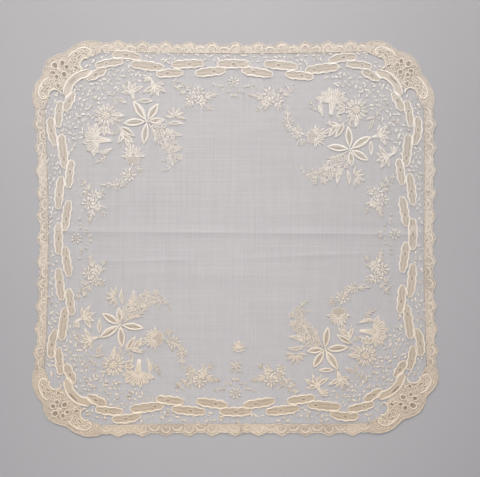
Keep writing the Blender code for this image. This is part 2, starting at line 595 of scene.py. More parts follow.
def petal(length: float, width: float, belly: float = 0.65, tone: float = Tone.SATIN) -> Work:
    """A plain satin petal, fullest towards its tip."""
    share = np.linspace(0, 1, 6)
    return ridge(straight(length, 6), width / 2 * leaf_width(share, belly), 0.55, tone)


def outlined_leaf(
    length: float, width: float, sag: float = 0.0, bars: int = 0, belly: float = 0.45
) -> Work:
    """A filled leaf with raised rims, and a slot crossed by bars if it has any, the slot painted
    dark as shade.

    Args:
        length: from foot to tip, mm.
        width: across the belly, mm.
        sag: sideways bow, mm.
        bars: ladder bars across the open midrib slot; 0 makes a stitched midrib instead.
        belly: where along its length it is widest.

    Returns:
        The leaf, its foot at the origin, along x.
    """
    count = 10
    share = np.linspace(0, 1, count)
    middle = straight(length, count, sag)
    half = width / 2 * leaf_width(share, belly)
    # an open slot gets the darkest tone: painted shade down in the slot
    slot = Tone.HOLE_SHADE if bars else Tone.FILL
    across = np.array((Tone.FILL, Tone.FILL, Tone.FILL, slot, Tone.FILL, Tone.FILL, Tone.FILL))
    parts = [ridge(middle, half * 0.92, 0.2, across, sides=7, groove=0.4)]
    left = left_of(middle)
    rim = min(0.24 + 0.115 * width, 0.23 * width)
    for side in (-1, 1):
        edge = middle + left * (side * (half - rim * 0.6))[:, None]
        parts.append(ridge(edge, rim * rounded_ends(share, 0.3, 0.35), 0.75, Tone.RIM))
        if width > 5 and not bars:
            vein = (middle + left * (side * 0.42 * half)[:, None])[2:-2]
            parts.append(ridge(vein, 0.22, 0.42, Tone.STITCH, sides=3))
    if bars:
        # painted shade: the strip under the bars is in the ladder-shade tone
        parts.append(ridge(middle[1:-1], 0.8 * leaf_width(share)[1:-1], 0.26, Tone.LADDER_SHADE))
        at = np.interp(np.linspace(0.22, 0.8, bars), share, middle[:, 0])
        bow = np.interp(at, middle[:, 0], middle[:, 1])
        bar = ridge(straight(1.9, 3) - (0.95, 0), 0.24, 0.24, Tone.STITCH).raised(0.18)
        parts.append(bar.placed([(x, y, 90) for x, y in zip(at, bow)]))
    else:
        parts.append(ridge(middle[1:-1], 0.24, 0.5, Tone.STITCH, sides=3))
    return Work.joined(parts)


def fan(
    blade: Work, count: int, start: float, end: float, inner: float,
    lengths: Sequence[float] = (1.0,),
) -> Work:
    """Copies of a blade set round a centre from one angle to another.

    Args:
        blade: a petal or leaf along x.
        count: how many.
        start: first angle, degrees.
        end: last angle, degrees.
        inner: how far from the centre they start, mm.
        lengths: their sizes, taken in turn.

    Returns:
        The fan.
    """
    angles = np.linspace(start, end, count)
    sizes = np.resize(lengths, count)
    rows = [
        (inner * np.cos(np.radians(angle)), inner * np.sin(np.radians(angle)), angle, size)
        for angle, size in zip(angles, sizes)
    ]
    return blade.placed(rows)


def ring(radius: float, half_width: float = 0.35, height: float = 0.55, count: int = 12) -> Work:
    """A small overcast ring."""
    return ridge(ellipse((0, 0), (radius, radius), 0, count), half_width, height, closed=True)


def dish(radius: float, tone: float, height: float = 0.12, count: int = 12) -> Work:
    """A low closed button: painted shade for an open eyelet's depth when given a dark tone, and a
    net-filled heart otherwise.
    """
    circle = ellipse((0, 0), (1, 1), 0, count)
    radii = radius * np.array((1.0, 0.96, 0.5))
    flat = circle[None] * radii[:, None, None]
    heights = np.array((0.0, height * 0.8, height))[:, None, None]
    points = np.concatenate((flat, np.broadcast_to(heights, (3, count, 1))), 2).reshape(-1, 3)
    points = np.vstack((points, (0, 0, height), (0, 0, 0)))
    step = np.arange(count)
    after = (step + 1) % count
    quads = np.vstack(
        [
            np.column_stack(
                (level * count + step, level * count + after, (level + 1) * count + after,
                 (level + 1) * count + step)
            )
            for level in (0, 1)
        ]
    )
    top, bottom = 3 * count, 3 * count + 1
    tris = np.vstack(
        (
            np.column_stack((np.full(count, top), 2 * count + step, 2 * count + after)),
            np.column_stack((np.full(count, bottom), after, step)),
        )
    )
    return Work(points, quads, tris, points[:, :2], np.full(len(points), tone))


def daisy(petals: int, radius: float, width: float) -> Work:
    """A whole daisy: satin petals round an eyelet ring, its middle a dish of painted shade."""
    blade = petal(radius * 0.72, width, 0.65, Tone.DAISY)
    turn = 360 / petals
    parts = [
        fan(blade, petals, 0, 360 - turn, radius * 0.28),
        ring(radius * 0.2, 0.35, 0.6, 10),
        # painted shade in the eyelet's middle
        dish(radius * 0.17, Tone.SLOT_SHADE, 0.1, 8),
    ]
    return Work.joined(parts)


def open_daisy(petals: int, radius: float) -> Work:
    """A daisy of long petals, a shorter one in each gap, round a ringed, knotted heart."""
    turn = 360 / petals
    blade = petal(radius * 0.80, radius * 2.7 / petals, 0.58, Tone.PETAL)
    between = petal(radius * 0.34, radius * 0.9 / petals, 0.6, Tone.STITCH)
    parts = [
        fan(blade, petals, 0, 360 - turn, radius * 0.22, (1.0, 0.88)),
        fan(between, petals, turn / 2, 360 - turn / 2, radius * 0.5),
        ring(radius * 0.2, 0.4, 0.6, 10),
        dish(radius * 0.16, Tone.NET, 0.2, 8),
    ]
    return Work.joined(parts)


def blossom(radius: float) -> Work:
    """A round blossom: five looped petals round a knotted heart."""
    loop = ellipse((radius * 0.64, 0), (radius * 0.33, radius * 0.25), 0, 12)
    rim = ridge(loop, 0.46, 0.7, Tone.SATIN, closed=True)
    heart = dish(radius * 0.26, Tone.KNOTTED, 0.12, 8).placed([(radius * 0.64, 0)])
    one = Work.joined([rim, heart])
    return Work.joined([fan(one, 5, 18, 306, 0), ring(radius * 0.15, 0.42, 0.6, 8)])


def stem(points: Sequence[Point], half_width: float = 0.6, count: int = 16) -> Work:
    """A stem-stitch line through points."""
    share = np.linspace(0, 1, count)
    return ridge(spline(points, count), half_width * rounded_ends(share, 0.1, 0.4), 0.65)


def twig(length: float, pairs: int, leaf: float, sag: float = 1.0) -> Work:
    """A twig along x with leaves in pairs and one at the tip.

    Args:
        length: of its stem, mm.
        pairs: pairs of leaves.
        leaf: length of the longest leaf, mm.
        sag: bow of the stem, mm.

    Returns:
        The twig.
    """
    path = straight(length, 9, sag)
    one = satin_leaf(leaf, leaf * 0.34)
    at = np.linspace(0.25, 0.85, pairs)
    x = np.interp(at, np.linspace(0, 1, 9), path[:, 0])
    y = np.interp(at, np.linspace(0, 1, 9), path[:, 1])
    sizes = np.linspace(1.0, 0.7, pairs)
    rows = [(a, b, turn, size) for a, b, size in zip(x, y, sizes) for turn in (44, -44)]
    rows.append((length * 0.94, path[-2, 1], -6, 0.85, 1))
    return Work.joined([ridge(path, 0.45, 0.5, sides=3), one.placed(rows)])


def dotted(radius: float, count: int, size: float = 0.7) -> Work:
    """Knots spread over a disc in sunflower order: radius * sqrt(k / n) at k golden turns."""
    order = np.arange(count)
    reach = radius * np.sqrt((order + 0.5) / count)
    angle = order * 2.39996
    knot = dish(size / 2, Tone.SATIN, 0.5, 5)
    return knot.placed(np.column_stack((reach * np.cos(angle), reach * np.sin(angle))))


def stripes(length: float, opening: Array, sides: Sequence[float], height: float) -> list[Work]:
    """Satin lines side by side along x that open out like the ribs of a fan.

    Args:
        length: how long they are, mm.
        opening: how far they have opened at each step, as a share.
        sides: how far to the side each one ends, mm.
        height: of the satin, mm.

    Returns:
        One work for each line.
    """
    along = np.linspace(0, length, len(opening))
    return [
        ridge(np.column_stack((along, side * opening)), 0.6, height, Tone.SATIN) for side in sides
    ]


def lily(length: float, spread: float, mouth: float) -> Work:
    """A trumpet flower along x: a striped tube that opens into pointed petals.

    Args:
        length: from foot to throat, mm.
        spread: angle between the outer petals, degrees.
        mouth: petal length, mm.

    Returns:
        The flower, its foot at the origin.
    """
    tube = stripes(length, np.linspace(0.25, 1, 8) ** 1.5, (-2.6, 0.0, 2.6), 0.7)
    share = np.linspace(0, 1, 8)
    tube.append(ridge(straight(length, 8), 0.5 + 2.4 * share**1.5, 0.3, Tone.FILL, sides=5))
    petals = outlined_leaf(mouth, mouth * 0.30, mouth * 0.05, 0, 0.38)
    opened = fan(petals, 5, -spread / 2, spread / 2, 0, (1.0, 0.82, 0.9))
    slim = fan(petal(mouth * 0.55, 1.2), 4, -spread * 0.37, spread * 0.37, 1.0)
    parts = [*tube, opened.placed([(length * 0.86, 0)])]
    parts.append(slim.placed([(length * 0.86, 0)]).raised(0.2))
    return Work.joined(parts)


def carnation(length: float, spread: float, reach: float) -> Work:
    """A pink along x: a striped calyx under a fan of narrow fringed petals.

    Args:
        length: of the calyx, mm.
        spread: angle of the fan, degrees.
        reach: length of the middle petals, mm.

    Returns:
        The flower, its foot at the origin.
    """
    share = np.linspace(0, 1, 7)
    calyx = stripes(length, 0.3 + 0.7 * share**1.4, (-3.6, -1.2, 1.2, 3.6), 0.6)
    calyx.append(ridge(straight(length, 7), 1.3 + 2.2 * share, 0.2, Tone.NET, sides=5))
    blades = fan(outlined_leaf(reach * 0.86, 3.0, 0.5, 0, 0.55), 11, -spread / 2, spread / 2,
                 reach * 0.2, (1.0, 0.86, 1.08, 0.9))
    under = fan(petal(reach * 0.42, 1.1, 0.6), 10, -spread * 0.45, spread * 0.45, reach * 0.62)
    return Work.joined([*calyx, *(work.placed([(length * 0.75, 0)]) for work in (blades, under))])


def aster(radius: float) -> Work:
    """A feathery aster: two rounds of thin petals over a net heart of knots."""
    rounds = (
        (outlined_leaf(radius * 0.66, 2.9, 0.3, 0, 0.5), 14, radius * 0.38),
        (petal(radius * 0.42, 1.3, 0.6), 14, radius * 0.34),
    )
    parts = [
        fan(blade, count, 0, 360 - 360 / count, inner, (1.0, 0.86, 0.95)).raised(0.1 * level)
        for level, (blade, count, inner) in enumerate(rounds)
    ]
    parts += [dish(radius * 0.36, Tone.NET, 0.2, 16), dotted(radius * 0.34, 16, 1.5).raised(0.1)]
    return Work.joined(parts)


def half_daisy(radius: float) -> Work:
    """A daisy seen from the side: petals over a half round, above a knotted cup."""
    blades = fan(outlined_leaf(radius * 0.85, 2.9, 0, 0, 0.48), 9, 0, 180, radius * 0.14,
                 (1.0, 0.78, 0.94, 0.84))
    cup = dotted(radius * 0.52, 24, 1.3).raised(0.1)
    bed = dish(radius * 0.54, Tone.FILL, 0.12, 14)
    rim = ring(radius * 0.56, 0.5, 0.5, 18)
    below = Work.joined([cup, bed, rim])
    below.points[:, 1] = 0.62 * below.points[:, 1] - radius * 0.29
    return Work.joined([blades, below])


def star(leaves: Sequence[tuple[float, float, float]]) -> Work:
    """Ladder leaves round one point.

    Args:
        leaves: rows of angle in degrees, length and width in mm.

    Returns:
        The star.
    """
    parts = [
        outlined_leaf(length - 1.5, width, 0, max(3, int(length / 2.4)), 0.5).placed(
            [(1.5 * np.cos(np.radians(angle)), 1.5 * np.sin(np.radians(angle)), angle)]
        )
        for angle, length, width in leaves
    ]
    parts.append(ring(1.1, 0.45, 0.8, 8))
    return Work.joined(parts)


# ---------------------------------------------------------------- cut cloth


def signed_distance(points: Array, outline: Array) -> Array:
    """Distance from points to a closed outline, negative inside it.

    The distance is the least over the outline's straight pieces; a point is inside when a
    ray from it along x crosses the outline an odd number of times.

    Args:
        points: n by 2 array.
        outline: m by 2 array, closed by its first point.

    Returns:
        n distances.
    """
    start, end = outline, np.roll(outline, -1, 0)
    piece = end - start
    away = points[:, None] - start[None]
    share = (away * piece).sum(2) / np.maximum((piece**2).sum(1), 1e-9)
    nearest = away - np.clip(share, 0, 1)[:, :, None] * piece
    distance = np.sqrt((nearest**2).sum(2).min(1))
    y = points[:, 1][:, None]
    spans = (start[None, :, 1] > y) != (end[None, :, 1] > y)
    rise = np.where(np.abs(piece[:, 1]) < 1e-9, 1e-9, piece[:, 1])
    crossing = start[:, 0] + (y - start[:, 1]) / rise * piece[:, 0]
    inside = (spans & (points[:, 0][:, None] < crossing)).sum(1) % 2 == 1
    return np.where(inside, -distance, distance)


def oval_distance(points: Array, oval: Sequence[float]) -> Array:
    """About how far points lie inside an oval hole (x, y, half length, half width, turn).

    In the oval's own axes, scaled to a unit circle, it is (1 - |q|) times the half width.
    """
    x, y, long, wide, turn = oval
    cosine, sine = np.cos(np.radians(turn)), np.sin(np.radians(turn))
    dx, dy = points[:, 0] - x, points[:, 1] - y
    reach = np.hypot((dx * cosine + dy * sine) / long, (dy * cosine - dx * sine) / wide)
    return (1 - reach) * wide


def cut_sheet(
    outline: Array, holes: Sequence[Sequence[float]], pitch: float, base: float, tone: float
) -> tuple[Work, float]:
    """A flat sheet cut to an outline with oval holes.

    A square grid covers it. Each grid point gets its distance to the cut edge, cells whose
    middle is outside are left out, and the points along the border of what is left move
    down the slope of the distance on to the edge itself.

    Args:
        outline: closed m by 2 outline, mm.
        holes: ovals, each x, y, half length, half width, turn.
        pitch: grid spacing, mm.
        base: height of the sheet, mm.
        tone: tone of its net.

    Returns:
        The sheet, one layer thick, and its area in square mm.
    """
    low, high = outline.min(0) - pitch, outline.max(0) + pitch
    columns, rows = (np.ceil((high - low) / pitch).astype(int) + 1).tolist()
    x, y = np.meshgrid(low[0] + pitch * np.arange(columns), low[1] + pitch * np.arange(rows))
    grid = np.column_stack((x.ravel(), y.ravel()))
    distance = signed_distance(grid, outline)
    for oval in holes:
        distance = np.maximum(distance, oval_distance(grid, oval))
    field = distance.reshape(rows, columns)
    slope_y, slope_x = np.gradient(field, pitch)
    cells = grid_cells(rows, columns)
    kept = cells[distance[cells].mean(1) < 0]
    uses = np.bincount(kept.ravel(), minlength=len(grid))
    border = (uses > 0) & (uses < 4)
    slope = np.column_stack((slope_x.ravel(), slope_y.ravel()))
    steep = np.maximum(np.hypot(*slope.T), 0.5)
    step = np.clip(distance, -0.7 * pitch, 0.7 * pitch) / steep**2
    grid[border] -= step[border, None] * slope[border]
    used = np.flatnonzero(uses)
    renumber = np.zeros(len(grid), int)
    renumber[used] = np.arange(len(used))
    flat = grid[used]
    points = np.column_stack((flat, np.full(len(flat), base)))
    tones = np.full(len(flat), tone)
    work = Work(points, renumber[kept], np.empty((0, 3), int), flat, tones)
    return work, float(len(kept) * pitch**2)


# ---------------------------------------------------------------- finishes


def linear(red: float, green: float, blue: float) -> tuple[float, float, float, float]:
    """A colour given by its 0 to 255 screen values, as linear light."""
    share = np.array((red, green, blue)) / 255
    light = np.where(share <= 0.04045, share / 12.92, ((share + 0.055) / 1.055) ** 2.4)
    return (*(float(value) for value in light), 1.0)


class Recipe:
    """A material being mixed: adds shader nodes and joins them."""

    def __init__(self, name: str) -> None:
        """Starts an empty material with a principled shader and an output."""
        self.material = bpy.data.materials.new(name)
        self.material.use_nodes = True
        self.tree = self.material.node_tree
        self.shader = self.tree.nodes["Principled BSDF"]

    def node(self, kind: str, **values: object) -> bpy.types.Node:
        """Adds a node of a kind and sets its named properties."""
        made = self.tree.nodes.new(kind)
        for name, value in values.items():
            setattr(made, name, value)
        return made

    def join(self, source: object, target: object) -> None:
        """Links an output to an input."""
        self.tree.links.new(source, target)

    def attribute(self, name: str) -> object:
        """The value of a point attribute."""
        return self.node("ShaderNodeAttribute", attribute_name=name).outputs["Fac"]

    def place(self) -> object:
        """Object coordinates, in metres."""
        return self.node("ShaderNodeTexCoord").outputs["Object"]

    def thread_run(self) -> object:
        """The piece's own map: mm along and across its stitches."""
        return self.node("ShaderNodeUVMap", uv_map="stitch_run").outputs["UV"]

    def scaled(self, source: object, factors: Sequence[float], turn: float = 0.0) -> object:
        """Coordinates multiplied by factors, after a turn in degrees."""
        mapping = self.node("ShaderNodeMapping")
        mapping.inputs["Scale"].default_value = factors
        mapping.inputs["Rotation"].default_value = (0, 0, float(np.radians(turn)))
        self.join(source, mapping.inputs["Vector"])
        return mapping.outputs["Vector"]

    def noise(self, source: object, scale: float, detail: float = 2.0) -> object:
        """Noise from 0 to 1 over coordinates."""
        made = self.node("ShaderNodeTexNoise")
        made.inputs["Scale"].default_value = scale
        made.inputs["Detail"].default_value = detail
        self.join(source, made.inputs["Vector"])
        return made.outputs["Fac"]

    def bands(self, source: object, direction: str, distortion: float = 0.0) -> object:
        """Smooth bands along one axis, one for each unit of the coordinate."""
        made = self.node("ShaderNodeTexWave", bands_direction=direction)
        made.inputs["Scale"].default_value = 0.31416
        made.inputs["Distortion"].default_value = distortion
        made.inputs["Detail"].default_value = 1.0
        self.join(source, made.inputs["Vector"])
        return made.outputs["Fac"]

    def spread(self, source: object, low: float, high: float, start: float = 0.0,
               end: float = 1.0) -> object:
        """Maps the span start to end of a value on to low to high, and holds it there."""
        made = self.node("ShaderNodeMapRange", clamp=True)
        for name, value in (("From Min", start), ("From Max", end), ("To Min", low),
                            ("To Max", high)):
            made.inputs[name].default_value = value
        self.join(source, made.inputs["Value"])
        return made.outputs["Result"]

    def math(self, operation: str, first: object, second: object | float) -> object:
        """One sum on two values."""
        made = self.node("ShaderNodeMath", operation=operation)
        self.join(first, made.inputs[0])
        if isinstance(second, (int, float)):
            made.inputs[1].default_value = second
        else:
            self.join(second, made.inputs[1])
        return made.outputs[0]

    def ramp(self, source: object, stops: Sequence[tuple[float, tuple[float, ...]]]) -> object:
        """A colour for each value, from stops of value and colour."""
        made = self.node("ShaderNodeValToRGB")
        elements = made.color_ramp.elements
        while len(elements) < len(stops):
            elements.new(0.5)
        for element, (value, colour) in zip(elements, stops):
            element.position = value
            element.color = colour
        self.join(source, made.inputs["Fac"])
        return made.outputs["Color"]

    def shaded(self, colour: object, value: object, low: float) -> object:
        """A colour darkened towards `low` of itself where a value falls to 0."""
        grey = self.spread(value, low, 1.0)
        made = self.node("ShaderNodeMix", data_type="RGBA", blend_type="MULTIPLY")
        made.inputs[0].default_value = 1.0
        self.join(colour, made.inputs[6])
        self.join(grey, made.inputs[7])
        return made.outputs[2]

    def warmed_to_bottom(self, colour: object, warm: tuple[int, int, int]) -> object:
        """A colour turned warmer from the cloth's middle towards its near edge, at the bottom of
        the view.
        """
        parts = self.node("ShaderNodeSeparateXYZ")
        self.join(self.place(), parts.inputs[0])
        made = self.node("ShaderNodeMix", data_type="RGBA", blend_type="MULTIPLY")
        made.inputs[7].default_value = linear(*warm)
        self.join(self.spread(parts.outputs["Y"], 1.0, 0.0, -0.20, 0.04), made.inputs[0])
        self.join(colour, made.inputs[6])
        return made.outputs[2]

    def bump(self, height: object, distance: float) -> None:
        """Gives the shader relief from a height."""
        made = self.node("ShaderNodeBump")
        made.inputs["Strength"].default_value = 1.0
        made.inputs["Distance"].default_value = distance
        self.join(height, made.inputs["Height"])
        self.join(made.outputs["Normal"], self.shader.inputs["Normal"])

    def set(self, **values: float) -> None:
        """Sets even values on the shader's own sockets."""
        for name, value in values.items():
            self.shader.inputs[name.replace("_", " ").title()].default_value = value


@dataclass(frozen=True)
class SatinThread:
    """Soft white cotton laid in close satin stitches."""

    name: str = "satin_thread"
    # painted shade: the colour of the shade inside holes, slots and eyelets
    hole_shade: tuple[int, int, int] = (158, 142, 124)
    net: tuple[int, int, int] = (211, 198, 183)
    fill: tuple[int, int, int] = (196, 186, 177)
    satin: tuple[int, int, int] = (255, 246, 235)
    stitch: float = 0.42
    relief: float = 0.00010

    def material(self) -> bpy.types.Material:
        """Mixes the finish: tone sets the colour, slanting stitches set the relief and paint shade
        into the grooves between them.
        """
        recipe = Recipe(self.name)
        tone = recipe.attribute("tone")
        colour = recipe.ramp(
            tone,
            (
                (0.0, linear(*self.hole_shade)),
                (Tone.NET, linear(*self.net)),
                (Tone.FILL, linear(*self.fill)),
                (1.0, linear(*self.satin)),
            ),
        )
        run = recipe.scaled(recipe.thread_run(), (1 / self.stitch,) * 3, 14)
        bands = recipe.bands(run, "X", 0.6)
        patches = recipe.noise(recipe.place(), 260, 3)
        colour = recipe.shaded(colour, patches, 0.90)
        # painted shade: darker in the grooves between the stitches
        colour = recipe.shaded(colour, bands, 0.93)
        # warmer towards the bottom of the view
        colour = recipe.warmed_to_bottom(colour, (251, 242, 228))
        recipe.join(colour, recipe.shader.inputs["Base Color"])
        recipe.join(recipe.spread(bands, 0.62, 0.46), recipe.shader.inputs["Roughness"])
        recipe.bump(bands, self.relief)
        recipe.set(sheen_weight=0.15, sheen_roughness=0.4)
        return recipe.material


@dataclass(frozen=True)
class NetLace:
    """Fine bobbin net, closed where it is worked as cloth."""

    name: str = "net_lace"
    # painted shade: the colour of the shade inside the lace's openings and eyelets
    hole_shade: tuple[int, int, int] = (168, 154, 140)
    net: tuple[int, int, int] = (212, 198, 184)
    cloth: tuple[int, int, int] = (250, 238, 222)
    mesh: float = 1.15
    thread: float = 0.09
    relief: float = 0.00012

    def material(self) -> bpy.types.Material:
        """Mixes the finish: a six-sided net of threads with holes between them, the holes painted
        darker as shade.
        """
        recipe = Recipe(self.name)
        tone = recipe.attribute("tone")
        colour = recipe.ramp(
            tone,
            ((0.0, linear(*self.hole_shade)), (Tone.NET, linear(*self.net)), (1.0, linear(*self.cloth))),
        )
        cells = recipe.node("ShaderNodeTexVoronoi", feature="DISTANCE_TO_EDGE")
        cells.inputs["Scale"].default_value = 1 / (self.mesh * MM)
        cells.inputs["Randomness"].default_value = 0.35
        recipe.join(recipe.place(), cells.inputs["Vector"])
        thread = recipe.spread(cells.outputs["Distance"], 1.0, 0.0, self.thread, self.thread + 0.10)
        closed = recipe.spread(tone, 0.0, 1.0, 0.6, 0.7)
        alpha = recipe.spread(recipe.math("MAXIMUM", thread, closed), 0.30, 1.0)
        patches = recipe.noise(recipe.place(), 300, 3)
        colour = recipe.shaded(colour, patches, 0.80)
        # painted shade: darker in the holes between the net's threads
        colour = recipe.shaded(colour, thread, 0.93)
        # warmer towards the bottom of the view
        colour = recipe.warmed_to_bottom(colour, (253, 246, 236))
        recipe.join(colour, recipe.shader.inputs["Base Color"])
        recipe.join(recipe.spread(patches, 0.75, 0.6), recipe.shader.inputs["Roughness"])
        recipe.join(alpha, recipe.shader.inputs["Alpha"])
        recipe.bump(recipe.math("ADD", thread, patches), self.relief)
        recipe.set(sheen_weight=0.1)
        return recipe.material


@dataclass(frozen=True)
class SheerLinen:
    """Sheer plain-woven linen lawn, with slubs both ways and gaps between its threads."""

    name: str = "sheer_linen"
    thread: tuple[int, int, int] = (222, 217, 216)
    shadow: tuple[int, int, int] = (211, 208, 209)
    count: float = 0.42
    cover: float = 0.36

    def material(self) -> bpy.types.Material:
        """Mixes the finish: warp and weft thicken and thin, and cover more or less."""
        recipe = Recipe(self.name)
        place = recipe.place()
        fine = 1 / (self.count * MM)
        warp = recipe.bands(recipe.scaled(place, (fine, fine, fine)), "X", 0.4)
        weft = recipe.bands(recipe.scaled(place, (fine, fine, fine)), "Y", 0.4)
        slub_warp = recipe.noise(recipe.scaled(place, (520, 9, 1)), 1.0, 3)
        slub_weft = recipe.noise(recipe.scaled(place, (9, 520, 1)), 1.0, 3)
        slubs = recipe.math("ADD", slub_warp, slub_weft)
        threads = recipe.math("MAXIMUM", warp, weft)
        cloudy = recipe.noise(place, 22, 2)
        cover = recipe.math("ADD", recipe.spread(slubs, -0.06, 0.06, 0.7, 1.3),
                            recipe.spread(threads, self.cover - 0.16, self.cover + 0.06))
        cover = recipe.math("ADD", cover, recipe.spread(cloudy, -0.02, 0.02, 0.3, 0.7))
        colour = recipe.ramp(slubs, ((0.35, linear(*self.shadow)), (0.65, linear(*self.thread))))
        recipe.join(colour, recipe.shader.inputs["Base Color"])
        recipe.join(cover, recipe.shader.inputs["Alpha"])
        recipe.join(recipe.spread(threads, 0.85, 0.7), recipe.shader.inputs["Roughness"])
        recipe.bump(recipe.math("ADD", threads, slubs), 0.00005)
        recipe.set(sheen_weight=0.1)
        return recipe.material


@dataclass(frozen=True)
class PaleBoard:
    """The plain pale board that the handkerchief lies on."""

    name: str = "pale_board"
    colour: tuple[int, int, int] = (172, 169, 170)

    def material(self) -> bpy.types.Material:
        """Mixes a matt grey with the faintest mottling."""
        recipe = Recipe(self.name)
        patches = recipe.noise(recipe.place(), 3, 2)
        deep = tuple(value - 4 for value in self.colour)
        colour = recipe.ramp(patches, ((0.3, linear(*deep)), (0.7, linear(*self.colour))))
        recipe.join(colour, recipe.shader.inputs["Base Color"])
        recipe.join(recipe.spread(patches, 0.9, 0.95), recipe.shader.inputs["Roughness"])
        return recipe.material


# ---------------------------------------------------------------- making pieces


def sewn(name: str, work: Work, finish: bpy.types.Material, slot: Slot,
         strays: bool = False) -> bpy.types.Object:
    """Makes a piece of a work, laid on the table.

    Args:
        name: the piece's name.
        work: its surface in pattern mm.
        finish: its material.
        slot: the record's finish it belongs to; not used.
        strays: True if it takes the drift of the embroidery.

    Returns:
        The piece's object.
    """
    points = LAYING.place(work.points, strays)
    mesh = bpy.data.meshes.new(name)
    corners = np.concatenate((work.quads.ravel(), work.tris.ravel())).astype(np.int32)
    four, three = len(work.quads), len(work.tris)
    starts = np.concatenate((np.arange(four) * 4, four * 4 + np.arange(three) * 3))
    mesh.vertices.add(len(points))
    mesh.vertices.foreach_set("co", points.astype(np.float32).ravel())
    mesh.loops.add(len(corners))
    mesh.loops.foreach_set("vertex_index", corners)
    mesh.polygons.add(four + three)
    mesh.polygons.foreach_set("loop_start", starts.astype(np.int32))
    mesh.update(calc_edges=True)
    mesh.polygons.foreach_set("use_smooth", np.full(four + three, True))
    layer = mesh.uv_layers.new(name="stitch_run")
    layer.data.foreach_set("uv", work.run[corners].astype(np.float32).ravel())
    tone = mesh.attributes.new("tone", "FLOAT", "POINT")
    tone.data.foreach_set("value", work.tone.astype(np.float32))
    mesh.materials.append(finish)
    mesh.validate()
    piece = bpy.data.objects.new(name, mesh)
    bpy.context.scene.collection.objects.link(piece)
    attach(piece, BODY)
    log.info("%s: %d faces", name, four + three)
    return piece


def thickened(piece: bpy.types.Object, thickness: float) -> None:
    """Gives a one-layer sheet its thickness, downwards, in mm."""
    wall = piece.modifiers.new("thickness", "SOLIDIFY")
    wall.thickness = thickness * MM
    wall.offset = -1.0


# ---------------------------------------------------------------- the linen


@dataclass
class LinenGround:
    """The sheer ground: one square of lawn whose corners are cut back under the lace."""

    half: float = SEAM_HALF
    coarse: float = 2.7
    fine: float = 0.9
    thickness: float = 0.18
    top: float = 0.18
    crease_rows: tuple[tuple[float, float], ...] = ((5.8, 7.0), (-22.0, 7.0), (-17.0, 6.0))
    corner_line: tuple[Point, ...] = (
        (134.5, 195.7), (143.5, 191.7), (147.1, 190.2), (153.6, 188.6), (156.2, 185.0),
        (157.0, 179.0), (158.7, 171.0), (162.1, 168.9), (165.3, 165.3), (168.9, 162.1),
        (171.0, 158.7), (177.4, 155.3), (184.4, 156.7), (188.6, 153.6), (190.2, 147.1),
        (191.7, 143.5), (195.7, 134.5),
    )

    def rows(self) -> Array:
        """Where the grid's rows lie: close over the long creases and wide elsewhere."""
        dense = np.linspace(-self.half, self.half, 4000)
        need = np.full(len(dense), 1 / self.coarse)
        for centre, reach in self.crease_rows:
            need = np.where(np.abs(dense - centre) < reach, 1 / self.fine, need)
        total = np.concatenate(([0], np.cumsum((need[1:] + need[:-1]) / 2 * np.diff(dense))))
        return np.interp(np.linspace(0, total[-1], int(total[-1]) + 1), total, dense)

    def build(self) -> tuple[Work, float]:
        """The grid of share across and height up: x = share * reach(y).

        Returns:
            The cloth and its flat area in square mm.
        """
        rows = self.rows()
        away, reach = np.array(self.corner_line).T
        limit = np.interp(np.abs(rows), away, reach, left=self.half)
        limit = np.where(np.abs(rows) <= away[0], self.half, limit)
        shares = np.linspace(-1, 1, int(2 * self.half / self.coarse) + 1)
        x = shares[None] * limit[:, None]
        y = np.broadcast_to(rows[:, None], x.shape)
        points = np.stack((x, y, np.full(x.shape, self.top)), 2).reshape(-1, 3)
        area = float(((limit[1:] + limit[:-1]) * np.diff(rows)).sum())
        log.info("ground grid: %d by %d", *x.shape)
        tones = np.full(len(points), Tone.NET)
        quads = grid_cells(*x.shape)
        return Work(points, quads, np.empty((0, 3), int), points[:, :2], tones), area

    def dress(self, finish: bpy.types.Material) -> None:
        work, area = self.build()
        piece = sewn("linen_lawn", work, finish, Slot.LINEN)
        thickened(piece, self.thickness)
        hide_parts("linen_ground")


# ---------------------------------------------------------------- the lace edging


